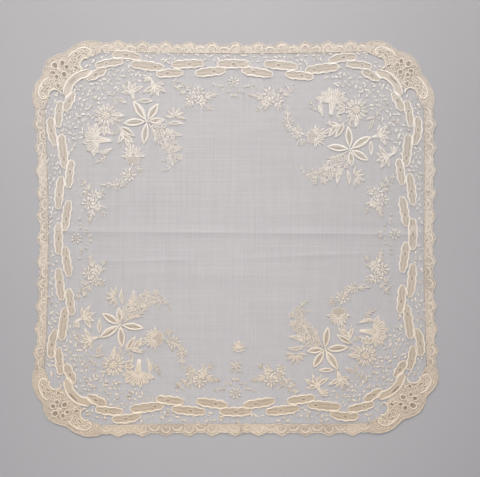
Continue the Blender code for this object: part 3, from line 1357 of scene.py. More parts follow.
@dataclass
class LaceEdging:
    """One side's strip of scalloped bobbin lace, with its arches worked as cloth."""

    quarter: Quarter
    pitch: float = 0.75
    overlap: float = 0.7
    base: float = 0.35
    thickness: float = 0.15
    arch_half: float = 4.3
    arch_foot: float = 3.0
    arch_crown: float = 8.3
    low_half: float = 4.9
    low_foot: float = 1.9
    low_crown: float = 5.9
    band: float = 1.0
    arch_tone: float = 0.72
    net_tone: float = 0.56

    def rise(self, along: Array) -> Array:
        """How far the edge stands beyond its depth: a sharp point at each pitch, a low
        bump half way between."""
        phase = along / PITCH
        near = np.abs(phase - np.round(phase))
        point = POINT_RISE * (1 - near / POINT_SHARE)
        between = np.clip((near - POINT_SHARE) / (0.5 - POINT_SHARE), 0, 1)
        bump = BUMP_RISE * np.sin(np.pi / 2 * between)
        return np.where(near < POINT_SHARE, point, bump)

    def net(self) -> tuple[Work, float]:
        """The strip of net: seam side nearly straight, outer side scalloped."""
        reach = STRIP_HALF + 0.25
        along = np.linspace(-reach, reach, 500)
        outer = np.column_stack((along, SEAM_HALF + EDGING_DEPTH + self.rise(along)))
        scallop = 0.35 * np.cos(2 * np.pi * along / (PITCH / 4))
        inner = np.column_stack((along, SEAM_HALF - self.overlap + scallop))[::-1][::4]
        return cut_sheet(np.vstack((outer, inner)), (), self.pitch, self.base, self.net_tone)

    def arch(self, half: float, foot: float, crown: float) -> Work:
        """One arch of clothwork, (half cos t, foot + (crown - foot) sin t), over four small
        openings in the net, each a small dark dish of painted shade."""
        angle = np.linspace(np.pi * 1.03, -np.pi * 0.03, 13)
        path = np.column_stack((half * np.cos(angle), foot + (crown - foot) * np.sin(angle)))
        share = np.linspace(0, 1, 13)
        wide = self.band * (0.55 + 0.45 * np.sin(np.pi * share))
        parts = [ridge(path, wide, 0.28, self.arch_tone, sides=5)]
        # painted shade: small dark dishes standing in for the shade of the net's openings
        hole_shade = dish(0.5, 0.34, 0.06, 6)
        spots = ((-1.7, 0.34), (0.0, 0.62), (1.7, 0.34), (0.0, 0.14))
        parts.append(hole_shade.placed([(x, foot + up * (crown - foot)) for x, up in spots]))
        return Work.joined(parts)

    def clothwork(self) -> Work:
        """All of the strip's raised work: arches, edge cord, picots, dots and seam cord."""
        tall = self.arch(self.arch_half, self.arch_foot, self.arch_crown)
        low = self.arch(self.low_half, self.low_foot, self.low_crown)
        peaks = PITCH * np.arange(-5, 6)
        valleys = PITCH * (np.arange(-5, 7) - 0.5)
        parts = [
            tall.placed([(at, 0) for at in peaks]),
            low.placed([(at, 0) for at in valleys if abs(at) < STRIP_HALF - 4]),
        ]
        along = np.linspace(-STRIP_HALF + 0.4, STRIP_HALF - 0.4, 480)
        edge = np.column_stack((along, EDGING_DEPTH - 0.35 + self.rise(along)))
        parts.append(ridge(edge, 0.42, 0.28, 0.78, sides=3))
        picot = np.arange(-STRIP_HALF + 1.2, STRIP_HALF - 1, 2.15)
        knot = dish(0.42, Tone.SATIN, 0.4, 6)
        outward = EDGING_DEPTH + 0.15 + self.rise(picot)
        parts.append(knot.placed(np.column_stack((picot, outward))))
        dots = np.arange(-STRIP_HALF + 1.5, STRIP_HALF - 1, 1.95)
        for row, out in enumerate((0.9, 2.1, -1.5)):
            at = dots + 0.98 * row
            dot = dish(0.36, Tone.STITCH, 0.3, 5)
            parts.append(dot.placed(np.column_stack((at, 0 * at + out))))
        seam = np.column_stack((along, 0.1 + 0.3 * np.cos(2 * np.pi * along / (PITCH / 4))))
        parts.append(ridge(seam, 0.36, 0.4, Tone.STITCH, sides=3))
        work = Work.joined(parts)
        work.points[:, 1] += SEAM_HALF
        return work.raised(self.base + 0.02)

    def dress(self, finish: bpy.types.Material) -> None:
        side = self.quarter.name.lower()
        turn = self.quarter.value
        net, area = self.net()
        strip = sewn(f"edging_net_{side}", net.quartered(turn), finish, Slot.EDGING)
        thickened(strip, self.thickness)
        raised = sewn(
            f"edging_clothwork_{side}", self.clothwork().quartered(turn), finish, Slot.EDGING
        )
        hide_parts(f"lace_edging_{side}")


# ---------------------------------------------------------------- the lace corners


@dataclass
class LaceCorner:
    """One corner of needle and bobbin lace round a rosette of six eyelets.

    It is drawn in its own axes: the rosette's middle at the origin, y outwards along the
    cloth's diagonal, x along the corner's sweep to the right; the left is its mirror.
    """

    corner: Corner
    pitch: float = 0.55
    base: float = 0.46
    thickness: float = 0.24
    net_tone: float = 0.42
    rim_points: int = 119
    small_eyelet: float = 1.2
    outer: tuple[Point, ...] = (
        (134.3, 204.6), (141.3, 206.0), (149.6, 205.7), (155.7, 203.4), (162.1, 200.0),
        (169.5, 193.6), (173.7, 192.7), (180.7, 189.8), (186.2, 186.2),
    )
    inner: tuple[Point, ...] = (
        (134.3, 195.2), (143.3, 190.9), (147.0, 189.4), (153.2, 187.8), (156.0, 184.2),
        (154.6, 177.3), (158.1, 170.5), (161.7, 168.2), (164.6, 164.6),
    )
    eyelets: tuple[tuple[float, float, float, float, float], ...] = (
        (7.2, 3.6, 2.6, 2.2, 35), (7.6, -2.0, 2.5, 2.0, -10),
        (36.3, 1.5, 0.8, 0.7, 0), (38.4, -1.2, 0.85, 0.75, 0), (40.0, -4.0, 0.9, 0.8, 0),
        (39.8, -7.2, 0.9, 0.8, 0), (38.7, -10.2, 1.0, 0.9, 0), (33.6, 3.6, 0.7, 0.6, 0),
        (16.2, -3.6, 1.15, 1.0, 0), (19.2, -2.2, 1.1, 0.95, 0), (14.4, -0.6, 1.0, 0.8, 0),
        (17.2, 0.4, 0.8, 0.7, 0),
        (24.3, 1.3, 3.0, 1.15, 0), (29.8, -0.9, 2.2, 1.15, -32), (32.5, -4.4, 1.8, 1.05, -75),
        (23.6, -3.5, 2.9, 1.2, 12), (13.3, -8.6, 2.8, 1.6, -62), (10.6, -10.4, 1.5, 1.15, -62),
    )
    middle_eyelets: tuple[tuple[float, float, float, float, float], ...] = (
        (0.0, 7.2, 3.2, 2.8, 90), (0.0, -5.4, 2.8, 2.5, 90), (-0.2, 1.2, 1.6, 0.6, 70),
    )

    def outline(self) -> Array:
        """The corner's cut edge in the north-west, smoothed through its points."""
        half = spline([(-x, y) for x, y in self.outer], 60)
        under = spline([(-x, y) for x, y in self.inner], 60)
        mirror = -half[::-1][:, ::-1]
        mirror_under = -under[:, ::-1]
        return np.vstack((half, mirror[1:], mirror_under, under[::-1][1:]))

    def cloth_spots(self, local: Array) -> Array:
        """Own axes to the north-west corner: turned by an eighth and moved to the rosette."""
        share = np.sqrt(0.5)
        x = share * (local[:, 0] - local[:, 1]) - ROSETTE
        y = share * (local[:, 0] + local[:, 1]) + ROSETTE
        return np.column_stack((x, y))

    def holes(self) -> list[tuple[float, float, float, float, float]]:
        """Every eyelet, in the north-west corner's own place."""
        both = [*self.middle_eyelets, *self.eyelets]
        both += [(-x, y, long, wide, 180 - turn) for x, y, long, wide, turn in self.eyelets]
        spots = self.cloth_spots(np.array([(x, y) for x, y, *_ in both]))
        return [
            (float(spot[0]), float(spot[1]), long, wide, turn + 45)
            for spot, (_, _, long, wide, turn) in zip(spots, both)
        ]

    def half_work(self) -> Work:
        """Raised work of the right half in the corner's own axes."""
        scroll = spline(((15.0, 3.4), (22.5, 4.4), (31.0, 1.9), (35.2, -1.8), (36.0, -6.6),
                         (32.4, -8.6), (30.2, -7.0)), 34)
        inner_scroll = spline(
            ((17.6, 1.9), (22.5, 2.7), (28.6, 0.4), (31.2, -3.0), (31.0, -5.4)), 22
        )
        low_scroll = spline(((14.0, -6.0), (19.5, -5.0), (24.0, -5.2), (28.6, -6.2)), 16)
        hook = spline(((28.8, -10.4), (26.6, -7.6), (22.8, -7.2), (18.8, -8.9), (16.6, -12.2),
                       (16.7, -15.0), (18.2, -16.8)), 24)
        share = np.linspace(0, 1, 24)
        parts = [
            ridge(scroll, 1.1 * rounded_ends(np.linspace(0, 1, 34), 0.1, 0.5), 0.85, sides=5),
            ridge(inner_scroll, 0.45, 0.5, Tone.STITCH),
            ridge(low_scroll, 0.45, 0.5, Tone.STITCH),
            ridge(hook, 0.9 * rounded_ends(share, 0.12, 0.7), 0.85, sides=5),
        ]
        for row in self.eyelets:
            cord = (0.4, 0.4) if row[2] < self.small_eyelet else (0.62, 0.8)
            parts.append(self.eyelet(row, 0.25, cord, (14, 10)))
        bar = ridge(straight(3.6, 3) - (1.8, 0), 0.22, 0.35, Tone.STITCH, sides=3)
        parts.append(bar.placed([(x, y, 80 - 6 * (x - 20), 0.62) for x, y in
                                 ((22.6, 1.8), (24.0, 1.6), (25.4, 1.3), (26.8, 0.8))]))
        parts.append(bar.placed([(x, y, turn, 0.62) for x, y, turn in
                                 ((28.2, 0.1, 52), (29.3, -0.8, 50), (30.5, -1.7, 46),
                                  (32.2, -3.2, 14), (32.5, -4.4, 8), (32.7, -5.4, 2))]))
        parts.append(bar.placed([(x, -3.9 + 0.22 * (x - 22), 96, 0.6)
                                 for x in (21.9, 22.9, 23.9, 24.9)]))
        parts.append(bar.placed([(10.4 + 0.48 * step, -11.2 + 0.9 * step, 26, 0.9)
                                 for step in range(6)]))
        return Work.joined(parts)

    @staticmethod
    def eyelet(row: Sequence[float], margin: float, cord: tuple[float, float],
               steps: tuple[int, int]) -> Work:
        """One worked eyelet: a corded rim round a sunk dish of painted shade.

        Args:
            row: its x, y, half length, half width and turn.
            margin: how far outside the opening the rim runs, mm.
            cord: half width and height of the rim, mm.
            steps: how many points the rim and the dish take.

        Returns:
            The eyelet in its place.
        """
        x, y, long, wide, turn = row
        rim = ellipse((0, 0), (long + margin, wide + margin), 0, steps[0])
        # painted shade: the opening is a dark dish in the hole-shade tone
        sunk = dish(1.0, Tone.HOLE_SHADE, 0.05, steps[1])
        sunk.points[:, :2] *= (long, wide)
        return Work.joined([ridge(rim, *cord, closed=True), sunk]).placed([(x, y, turn)])

    def clothwork(self) -> Work:
        """All raised work of the corner, in its north-west place."""
        half = self.half_work()
        rosette = [fan(petal(4.4, 1.5, 0.5, Tone.STITCH), 14, 15, 345, 8.4, (1.0, 0.8))]
        rosette += [self.eyelet(row, 0.3, (0.75, 0.9), (18, 14)) for row in self.middle_eyelets]
        local = Work.joined([half, half.placed([(0, 0, 180, 1, -1)]), *rosette])
        local.points[:, :2] = self.cloth_spots(local.points[:, :2])
        outline = self.outline()
        edge = outline[:self.rim_points]
        inward = left_of(edge)
        parts = [
            local,
            ridge(edge[2:-2] + 0.45 * inward[2:-2], 0.4, 0.45, Tone.STITCH, sides=3),
            ridge(edge[4:-4] + 3.0 * inward[4:-4], 0.3, 0.4, Tone.STITCH, sides=3),
        ]
        fine = spline([tuple(point) for point in edge[::6]], 62)
        knot = dish(0.42, Tone.SATIN, 0.4, 6)
        parts.append(knot.placed(fine))
        along = np.linspace(3, 115, 52).astype(int)
        dots = edge[along] + 1.7 * inward[along]
        parts.append(dish(0.34, Tone.STITCH, 0.3, 5).placed(dots))
        seam = outline[self.rim_points:]
        parts.append(ridge(seam[1:-1], 0.42, 0.45, Tone.STITCH, sides=4))
        return Work.joined(parts).raised(self.base + 0.02)

    def dress(self, finish: bpy.types.Material) -> None:
        name = self.corner.name.lower()
        turn = self.corner.value
        net, area = cut_sheet(self.outline(), self.holes(), self.pitch, self.base,
                              self.net_tone)
        sheet = sewn(f"corner_net_{name}", net.quartered(turn), finish, Slot.CORNER)
        thickened(sheet, self.thickness)
        work = self.clothwork().quartered(turn)
        raised = sewn(f"corner_scrolls_{name}", work, finish, Slot.CORNER)
        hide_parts(f"lace_corner_{name}")


# ---------------------------------------------------------------- the chain border


@dataclass(frozen=True)
class Link:
    """One link of the chain: where its middle lies along and out from the side's middle,
    its length and breadth in mm, its tilt in degrees, its bow in mm, its eyelet's place."""

    along: float
    out: float
    length: float
    breadth: float
    tilt: float
    bow: float
    eyelet: float = 0.0
    eyelet_long: float = 2.5

    def bowed(self, flat: Array) -> Array:
        """Bends flat points: y grows by bow * (1 - (2 x / length)^2), less its mean."""
        x, y = flat.T
        return np.column_stack((x, y + self.bow * (0.6 - (2 * x / self.length) ** 2)))

    def loop(self, inset: float, angles: Array) -> Array:
        """The link's rounded outline, about |x/a|^2.9 + |y/b|^2.8 = 1, bowed.

        A slight wave of 8.3 mm runs along its long sides.

        Args:
            inset: how far inside the link's edge, mm.
            angles: where round the outline, radians.

        Returns:
            Points in the link's own axes.
        """
        cosine, sine = np.cos(angles), np.sin(angles)
        x = (self.length / 2 - inset) * np.sign(cosine) * np.abs(cosine) ** 0.70
        wave = 0.50 * np.sin(2 * np.pi * x / 8.3 + self.along) * np.abs(sine)
        y = np.sign(sine) * ((self.breadth / 2 - 0.3 - inset) * np.abs(sine) ** 0.72 + wave)
        return self.bowed(np.column_stack((x, y)))

    def work(self) -> Work:
        """The link: net filling round an eyelet, and thick satin outlines thin at the ends."""
        angles = np.linspace(0, 2 * np.pi, 64, endpoint=False)
        wide = 0.32 + 0.54 * np.abs(np.sin(angles)) ** 0.8
        outline = ridge(self.loop(0.8, angles), wide, 0.95, Tone.SATIN, closed=True, sides=5)
        centre = self.bowed(np.array([[self.eyelet, 0.0]]))[0]

        def eye(turns: Array) -> Array:
            """Rim of the eyelet at each angle."""
            return centre + np.column_stack((self.eyelet_long * np.cos(turns), 1.6 * np.sin(turns)))

        filling = plate(lambda turns: self.loop(0.9, turns), eye, 36, 0.22, Tone.DENSE_NET)
        rim = ridge(eye(np.linspace(0, 2 * np.pi, 16, endpoint=False)), 0.42, 0.5,
                    Tone.STITCH, closed=True)
        # painted shade: a dark dish for the shade down in the eyelet
        deep = dish(1.0, Tone.EYELET_SHADE, 0.12, 10)
        deep.points[:, :2] = centre + deep.points[:, :2] * (self.eyelet_long, 1.5)
        # rows of dark dots in the painted hole-shade tone
        dark_dots = dish(0.6, Tone.HOLE_SHADE, 0.10, 6)
        x = np.arange(-self.length / 2 + 3.6, self.length / 2 - 3.0, 1.9)
        x = x[np.abs(x - self.eyelet) > self.eyelet_long + 0.8]
        rows = np.concatenate([np.column_stack((x + 0.5 * side, 0 * x + 1.7 * side))
                               for side in (-1, 1)])
        rows = self.bowed(rows)
        parts = [outline, filling, rim, deep, dark_dots.placed(rows).raised(0.18)]
        return Work.joined(parts).placed([(self.along, self.out, self.tilt)])


@dataclass
class ChainBorder:
    """The linked chain that runs round the cloth inside its edge."""

    middle: Link = Link(0.0, 183.0, 34.5, 11.0, 0.0, 0.4)
    links: tuple[Link, ...] = (
        Link(-24.0, 174.2, 33.5, 10.8, 9.0, 0.3, 3.6),
        Link(-47.8, 181.6, 36.0, 10.8, 6.5, 0.4, 2.0),
        Link(-66.6, 170.6, 30.0, 10.4, 7.0, 0.3, -2.4),
        Link(-89.6, 177.4, 36.0, 11.2, -6.0, 0.5, 8.0),
        Link(-110.2, 187.8, 31.0, 10.4, -7.0, 2.0, -1.0),
        Link(-127.6, 179.8, 29.0, 9.8, 9.0, 0.8, -3.0, 1.6),
        Link(-140.4, 168.6, 23.0, 10.4, 28.0, 0.3, -1.0, 2.8),
    )
    elbow_outer: tuple[Point, ...] = (
        (18.6, -19.8), (11.6, -15.8), (4.5, -13.6), (-4.5, -13.6), (-11.6, -15.8), (-18.6, -19.8),
    )
    elbow_inner: tuple[Point, ...] = (
        (19.4, -24.9), (12.2, -24.8), (5.4, -21.2), (-5.4, -21.2), (-12.2, -24.8), (-19.4, -24.9),
    )

    def elbow(self) -> Work:
        """The corner's bent link: two satin strokes, net between, a barred slit over a dark dish of
        painted shade.
        """
        outer = spline(self.elbow_outer, 26)
        inner = spline(self.elbow_inner, 26)
        share = np.linspace(0, 1, 26)
        wide = 0.95 * rounded_ends(share, 0.14, 0.4)
        parts = [ridge(path, wide, 0.95, sides=5) for path in (outer, inner)]
        middle = (outer + inner) / 2
        half = np.hypot(*(outer - inner).T) / 2
        parts.append(ridge(middle, half, 0.24, Tone.NET, sides=5))
        slit = ellipse((0, -15.9), (6.2, 1.5), 0, 18)
        parts.append(ridge(slit, 0.36, 0.6, Tone.STITCH, closed=True))
        # painted shade: a dark dish for the shade down in the slit
        deep = dish(1.0, Tone.HOLE_SHADE, 0.34, 14)
        deep.points[:, :2] = deep.points[:, :2] * (6.0, 1.3) + (0, -15.9)
        parts.append(deep)
        bar = ridge(straight(2.8, 3) - (1.4, 0), 0.22, 0.2, Tone.STITCH, sides=3)
        parts.append(bar.placed([(x, -15.9, 90) for x in np.linspace(-4.6, 4.6, 8)])
                     .raised(0.34))
        return Work.joined(parts).placed([(-ROSETTE, ROSETTE, 45)])

    def side(self) -> Work:
        """The north side's links and the north-west elbow."""
        half = Work.joined([link.work() for link in self.links])
        return Work.joined([self.middle.work(), half, half.mirrored(), self.elbow()])

    def build(self) -> list[Work]:
        """The four sides' chains."""
        side = self.side()
        return [side.quartered(quarter.value) for quarter in Quarter]


# ---------------------------------------------------------------- the flower sprays


@dataclass
class CornerSpray:
    """The great spray in each corner, drawn in the north-west round its ladder star."""

    centre: Point = (-91.0, 118.4)
    leaves: tuple[tuple[float, float, float], ...] = (
        (122.7, 25.4, 8.0), (57.7, 22.5, 7.6), (185.3, 24.5, 7.6), (262.3, 24.6, 7.2),
        (5.0, 18.5, 6.2),
    )

    def flowers(self) -> list[Work]:
        """The large flowers: two lilies, an aster, a pink and a half daisy."""
        return [
            lily(9.5, 150, 13.5).placed([(-12.8, 22.5, 104)]),
            lily(9.0, 160, 14.5).placed([(4.8, 45.0, -68)]),
            fan(outlined_leaf(10, 2.6), 3, 160, 200, 0).placed([(6.0, 45.5)]),
            aster(12.4).placed([(-41.7, 6.4)]),
            fan(outlined_leaf(9.5, 4.4), 3, 238, 302, 2).placed([(-43.5, -3.5)]),
            carnation(16.0, 140, 17.0).placed([(-35.9, -20.0, 174)]),
            half_daisy(12.8).placed([(-14.1, -36.0)]),
        ]

    def foliage(self) -> list[Work]:
        """Leaves, twigs and stems between the flowers."""
        slender = outlined_leaf(16, 4.6)
        ladder = outlined_leaf(18, 5.6, 0.6, 5)
        return [
            star(self.leaves),
            satin_leaf(26, 3.0, 3.0).placed([(0.8, -1.5, -72)]),
            slender.placed([(-9.0, 21.3, 2), (-30.8, 24.6, -28, 0.75)]),
            satin_leaf(11, 2.8, 1.0).placed([(-30.5, 15.8, 100), (-33.5, 26, 60, 0.6)]),
            outlined_leaf(13, 3.6, 1.5).placed([(-36.0, 6.5, -8), (-33.0, 1.8, 24, 0.8)]),
            satin_leaf(11, 2.6, 1.0).placed([(-36.0, 1.0, -14), (-30, -2, 35, 0.8, -1)]),
            ladder.placed([(-27.5, -6.5, -32), (-27.0, -13.5, -34, 0.92)]),
            outlined_leaf(14, 4.6, 1.4).placed([(-25.0, -10.0, -112), (-29, -9, 205, 0.7)]),
            stem(((-27.5, -26), (-26, -20), (-25.6, -14), (-29, -5), (-34, 0)), 0.4),
            stem(((0, 0), (-6, 12), (-12.8, 23))),
            stem(((-14, -24), (-19, -18), (-25, -12)), 0.4, 8),
            twig(13, 3, 5.0).placed([(-40, -33, 214)]),
            outlined_leaf(21, 2.6, 1.6).placed([(-34.0, -27.5, 187)]),
            outlined_leaf(12, 3.4, 1.4).placed([(-23.0, -20.0, -58), (-38, -28, 205, 0.9)]),
            twig(11, 2, 4.6).placed([(-34, 27, 140), (-23, 36, 60, 0.7)]),
            twig(9, 2, 4.2).placed([(26, 44, -10), (30, 36, 15)]),
            fan(satin_leaf(11, 3.4, 0.6), 6, -5, 172, 1).placed([(29.5, 4.5)]),
            outlined_leaf(17, 3.6, 1.6).placed([(21.5, -3.5, 6)]),
            outlined_leaf(15, 3.4, -1.2).placed([(22.5, -9.5, -17)]),
            twig(14, 3, 4.0).placed([(2, 12, 30, 0.5)]),
        ]

    def trails(self) -> list[Work]:
        """Trails of small blossoms and little daisies hanging inwards."""
        return [
            blossom(7.4).placed(
                [(12.8, -6.0, 0, 1.0), (13.6, -17.2, 30, 0.88), (25.0, -20.8, 50, 0.95),
                 (25.6, -31.6, 10, 0.84), (26.4, -41.0, 40, 0.66)]
            ),
            blossom(5.0).placed(
                [(22.6, -11.6, 20, 1.0), (32.4, -27.2, 5, 0.8), (18.6, -25.4, 60, 0.86),
                 (33.4, -36.8, 25, 0.7)]
            ),
            stem(((14, -12), (20, -22), (24, -34), (26, -44), (20, -51)), 0.36, 14),
            twig(9, 2, 4.0).placed([(25.5, -45, 215), (23.5, -38, 200, 0.8)]),
            open_daisy(9, 7.6).placed([(-18.5, -54.6), (-30.1, -63.4, 20, 0.84)]),
            open_daisy(7, 5.4).placed([(-8.0, -49.0, 0, 0.8), (-23.5, -62.5, 10, 0.8)]),
            stem(((-14, -42), (-17, -50), (-24, -60), (-32, -64), (-44, -63.5)), 0.36, 14),
            satin_leaf(6, 2.2).placed(
                [(-36, -63.5, 150), (-37, -64, 215), (-42, -63.5, 180),
                 (-9, -53, -30, 0.8), (-25, -56, 120, 0.8)]
            ),
        ]

    def build(self) -> Work:
        """The whole spray in its north-west place."""
        parts = [*self.flowers(), *self.foliage(), *self.trails()]
        return Work.joined(parts).placed([self.centre])


@dataclass
class SideSpray:
    """The daisy, the pair of sprigs and the swag of leaflets at the middle of each side."""

    out: float = 163.9

    def sprig(self) -> Work:
        """The left-hand sprig: small flowers and leaf twigs."""
        return Work.joined(
            [
                open_daisy(8, 7.8).placed([(-36.6, 151.2, 0, 1.0), (-44.2, 144.8, 15, 0.95)]),
                open_daisy(7, 6.2).placed([(-34.0, 142.6, 10, 1.0), (-46.6, 138.0, 0, 0.8)]),
                twig(17, 3, 7.0, 1.2).placed([(-36.5, 140.0, 32)]),
                twig(12, 2, 7.2, 0.5).placed([(-37.0, 140.0, -24)]),
                twig(12, 2, 6.4, 0.5).placed([(-31.0, 146.5, 14), (-48, 149, 150, 1.0)]),
                satin_leaf(6.0, 2.6).placed(
                    [(-50, 154, 40), (-50, 153, 5), (-57, 155, 60, 0.9),
                     (-56, 150, 20, 0.9)]
                ),
                seed(2.4, 1.3).placed([(-60, 161, 20), (-53, 160, 70),
                                       (-44, 158.5, 30), (-29, 157.5, -40)]),
            ]
        )

    def swag(self) -> Work:
        """Leaflets along a hanging line between the sprigs."""
        line = spline(((-20.5, 158.5), (-16.0, 160.5), (-10.0, 155.0), (-4.5, 150.8), (0.0, 148.6)),
                      7)
        way = np.degrees(np.arctan2(*np.gradient(line, axis=0).T[::-1]))
        lean = np.where(np.arange(7) % 2 == 0, 52, -40)
        one = satin_leaf(4.0, 2.2, 0.3)
        left = one.placed(np.column_stack((line, way + lean)))
        return Work.joined([left, left.mirrored()])

    def build(self) -> Work:
        """The north side's whole middle group."""
        sprig = self.sprig()
        flower = daisy(8, 6.3, 2.5).placed([(0, self.out, 22)])
        return Work.joined([sprig, sprig.mirrored(), self.swag(), flower])


@dataclass
class PlainDevice:
    """A generic bud over a leafy knot, worked within the south side in place of any device."""

    bud: Point = (3.2, -117.5)
    knot: Point = (0.5, -134.6)

    def build(self) -> Work:
        """The bud, the knot and their leaves."""
        palmette = fan(outlined_leaf(8.6, 3.0, 0, 0, 0.6), 5, 26, 154, 0.8, (0.8, 0.92, 1.0, 0.92))
        base = ridge(spline(((-6.2, 0.4), (0, -1.2), (6.2, 0.4)), 9), 0.7, 0.6)
        leaves = fan(satin_leaf(6.6, 2.4, 0.5), 6, 0, 300, 1.2, (1.0, 0.8))
        return Work.joined(
            [
                palmette.placed([self.bud]),
                base.placed([(self.bud[0], self.bud[1] - 0.6)]),
                dotted(2.0, 7, 0.8).placed([(self.bud[0], self.bud[1] + 2.4)]).raised(0.5),
                leaves.placed([(*self.knot, 30)]),
                ring(1.6, 0.45, 0.7, 10).placed([self.knot]),
                satin_leaf(5.2, 1.8).placed(
                    [(self.knot[0] - 1.5, self.knot[1] - 5, 195),
                     (self.knot[0] + 1.5, self.knot[1] - 5, -15)]
                ),
            ]
        )


@dataclass
class SeedStitches:
    """Seeds and leaflets scattered in the free ground either side of the chain."""

    spacing: float = 5.0
    clear: float = 0.8
    cell: float = 0.8
    seed: int = 7
    band: tuple[float, float] = (184.0, 192.8)
    corner_cut: float = 330.0
    reach: float = 215.0
    last: float = 198.0
    shake: float = 1.4
    kept: float = 0.94

    def cells(self, flat: Array) -> Array:
        """Which cell of the coarse map each point lies in."""
        return ((flat + self.reach) / self.cell).astype(int)

    def taken(self, works: Sequence[Work]) -> Array:
        """A coarse map of where stitches already lie, spread by the clear margin."""
        count = int(2 * self.reach / self.cell)
        flat = np.vstack([work.points[:, :2] for work in works])
        where = self.cells(flat)
        free = np.zeros((count, count), bool)
        free[where[:, 0].clip(0, count - 1), where[:, 1].clip(0, count - 1)] = True
        for _ in range(int(round(self.clear / self.cell)) + 1):
            free = (free | np.roll(free, 1, 0) | np.roll(free, -1, 0)
                    | np.roll(free, 1, 1) | np.roll(free, -1, 1))
        return free

    def spots(self, taken: Array) -> Array:
        """Where the seeds go: a shaken staggered grid, less the spots that are taken.

        Args:
            taken: the map of stitches.

        Returns:
            Rows of x, y, turn, scale and flip.
        """
        rng = np.random.default_rng(self.seed)
        steps = np.arange(-self.last, self.last, self.spacing)
        x, y = np.meshgrid(steps, steps)
        x = x + (np.arange(len(steps)) % 2)[:, None] * self.spacing / 2
        flat = np.column_stack((x.ravel(), y.ravel()))
        flat += rng.uniform(-self.shake, self.shake, flat.shape)
        far, near = np.abs(flat).max(1), np.abs(flat).min(1)
        inside = (far < self.band[1]) & (far + near * 0.55 > 214)
        within = far + near < self.corner_cut
        outer = (far > self.band[0]) & (far < self.band[1])
        shy = rng.random(len(flat)) < self.kept
        flat = flat[(inside | outer) & within & shy]
        where = self.cells(flat)
        flat = flat[~taken[where[:, 0], where[:, 1]]]
        away = np.degrees(np.arctan2(flat[:, 1], flat[:, 0]))
        turn = away + rng.choice((-50.0, 40.0, 95.0), len(flat)) + rng.uniform(-18, 18, len(flat))
        size = rng.uniform(0.8, 1.2, len(flat))
        return np.column_stack((flat, turn, size, rng.choice((-1.0, 1.0), len(flat))))

    def build(self, works: Sequence[Work]) -> Work:
        """Seeds and leaflets clear of all the other works."""
        spots = self.spots(self.taken(works))
        kinds = seed(4.2, 1.9, 0.6), seed(3.2, 2.0), satin_leaf(5.2, 2.3, 0.5)
        share = np.arange(len(spots)) % 5
        return Work.joined(
            [kinds[0].placed(spots[share < 3]), kinds[1].placed(spots[share == 3]),
             kinds[2].placed(spots[share == 4])]
        )


@dataclass
class Embroidery:
    """All the white-thread work on the linen, one piece for each sort and side."""

    top: float = 0.27
    chain: ChainBorder = field(default_factory=ChainBorder)
    corner_spray: CornerSpray = field(default_factory=CornerSpray)
    side_spray: SideSpray = field(default_factory=SideSpray)
    device: PlainDevice = field(default_factory=PlainDevice)
    seeds: SeedStitches = field(default_factory=SeedStitches)

    def limits(self) -> Work:
        """The lace corners' seams, which the seeds keep clear of."""
        edge = LaceCorner(Corner.NW).outline()
        low = LaceCorner(Corner.NW)
        cover, _ = cut_sheet(edge, (), 1.2, low.base, Tone.NET)
        return Work.joined([cover.quartered(corner.value) for corner in Corner])

    def dress(self, finish: bpy.types.Material) -> None:
        """Stitches every piece in its finish."""
        spray, side = self.corner_spray.build(), self.side_spray.build()
        chains = self.chain.build()
        sprays = [spray.quartered(corner.value) for corner in Corner]
        sides = [side.quartered(quarter.value) for quarter in Quarter]
        device = self.device.build()
        taken = [*chains, *sprays, *sides, device, self.limits()]
        named = [(f"chain_{quarter.name.lower()}", chains[quarter.value]) for quarter in Quarter]
        named += [(f"spray_{corner.name.lower()}", sprays[corner.value]) for corner in Corner]
        named += [(f"sprigs_{quarter.name.lower()}", sides[quarter.value]) for quarter in Quarter]
        named += [("bud_and_knot", device), ("seed_stitches", self.seeds.build(taken))]
        for name, work in named:
            sewn(name, work.raised(self.top), finish, Slot.THREAD, strays=True)


# ---------------------------------------------------------------- the studio


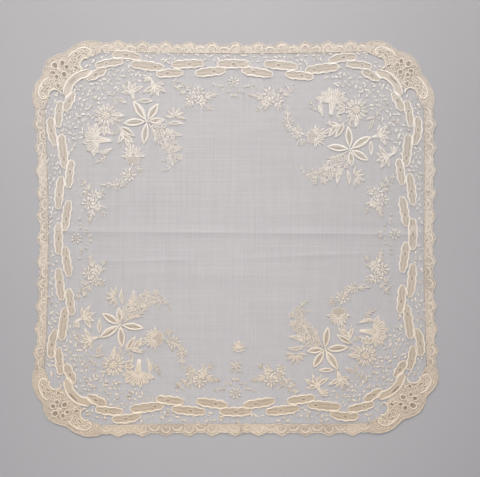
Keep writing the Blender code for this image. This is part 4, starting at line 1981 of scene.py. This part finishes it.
@dataclass
class Studio:
    """The board, the lights and the camera straight above."""

    camera_spot: tuple[float, float] = (0.0046, 0.0)
    view_width: float = 0.4944
    lens: float = 85.0
    sensor: float = 36.0

    def board(self) -> None:
        """Lays the pale board under the cloth: a grid whose height is nil everywhere."""
        steps = np.linspace(-1.6, 1.6, 9)
        x, y = np.meshgrid(steps, steps)
        points = np.column_stack((x.ravel(), y.ravel(), np.full(x.size, -0.0001)))
        mesh = bpy.data.meshes.new("board")
        mesh.from_pydata(points.tolist(), [], grid_cells(*x.shape).tolist())
        mesh.materials.append(PaleBoard().material())
        board = bpy.data.objects.new("board", mesh)
        bpy.context.scene.collection.objects.link(board)

    def lamp(self, name: str, place: Sequence[float], aim: Sequence[float],
             size: tuple[float, float], power: float, beam: float = 180.0) -> None:
        """Hangs one soft area light.

        Args:
            name: its name.
            place: where it hangs, m.
            aim: the point it faces, m.
            size: its width and height, m.
            power: watts.
            beam: how wide its light spreads, degrees.
        """
        light = bpy.data.lights.new(name, "AREA")
        light.shape = "RECTANGLE"
        light.size, light.size_y = size
        light.energy = power
        light.spread = float(np.radians(beam))
        light.color = LAMP_COLOUR
        lamp = bpy.data.objects.new(name, light)
        lamp.location = place
        way = np.array(aim, float) - np.array(place, float)
        pitch = float(np.arctan2(np.hypot(way[0], way[1]), -way[2]))
        lamp.rotation_euler = (pitch, 0.0, float(np.arctan2(-way[0], way[1])))
        bpy.context.scene.collection.objects.link(lamp)

    def lights(self) -> None:
        """A broad window light from the north, a long narrow strip above, and a dim room."""
        self.lamp("window", (-0.25, 2.2, 1.35), (-0.01, 0.10, 0.0), (0.9, 0.6), 50.0)
        self.lamp("strip", (-0.03, 0.085, 1.35), (-0.03, 0.085, 0.0), (0.10, 1.2), 1.06, 48.0)
        world = bpy.data.worlds.new("room")
        world.use_nodes = True
        sky = world.node_tree.nodes["Background"]
        sky.inputs["Color"].default_value = (0.93, 0.95, 1.0, 1.0)
        sky.inputs["Strength"].default_value = 0.412
        bpy.context.scene.world = world

    def camera(self) -> None:
        """Hangs the camera straight above, as high as the lens needs for the view's width."""
        lens = bpy.data.cameras.new("overhead")
        lens.lens = self.lens
        lens.sensor_width = self.sensor
        lens.clip_start, lens.clip_end = 0.05, 20.0
        camera = bpy.data.objects.new("overhead", lens)
        camera.location = (*self.camera_spot, self.lens / self.sensor * self.view_width)
        bpy.context.scene.collection.objects.link(camera)
        bpy.context.scene.camera = camera

    def build(self) -> None:
        """Sets up the board, the camera, the lights and how tones are shown."""
        self.board()
        self.camera()
        self.lights()
        bpy.context.scene.view_settings.view_transform = "Standard"


def main() -> None:
    """Builds the studio, the linen, its lace and its embroidery, and notes the sizes."""
    logging.basicConfig(level=logging.INFO, format="%(name)s %(message)s")
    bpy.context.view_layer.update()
    Studio().build()
    LinenGround().dress(SheerLinen().material())
    lace = NetLace().material()
    for quarter in Quarter:
        LaceEdging(quarter).dress(lace)
    for corner in Corner:
        LaceCorner(corner).dress(lace)
    Embroidery().dress(SatinThread().material())


if __name__ == "__main__":
    main()
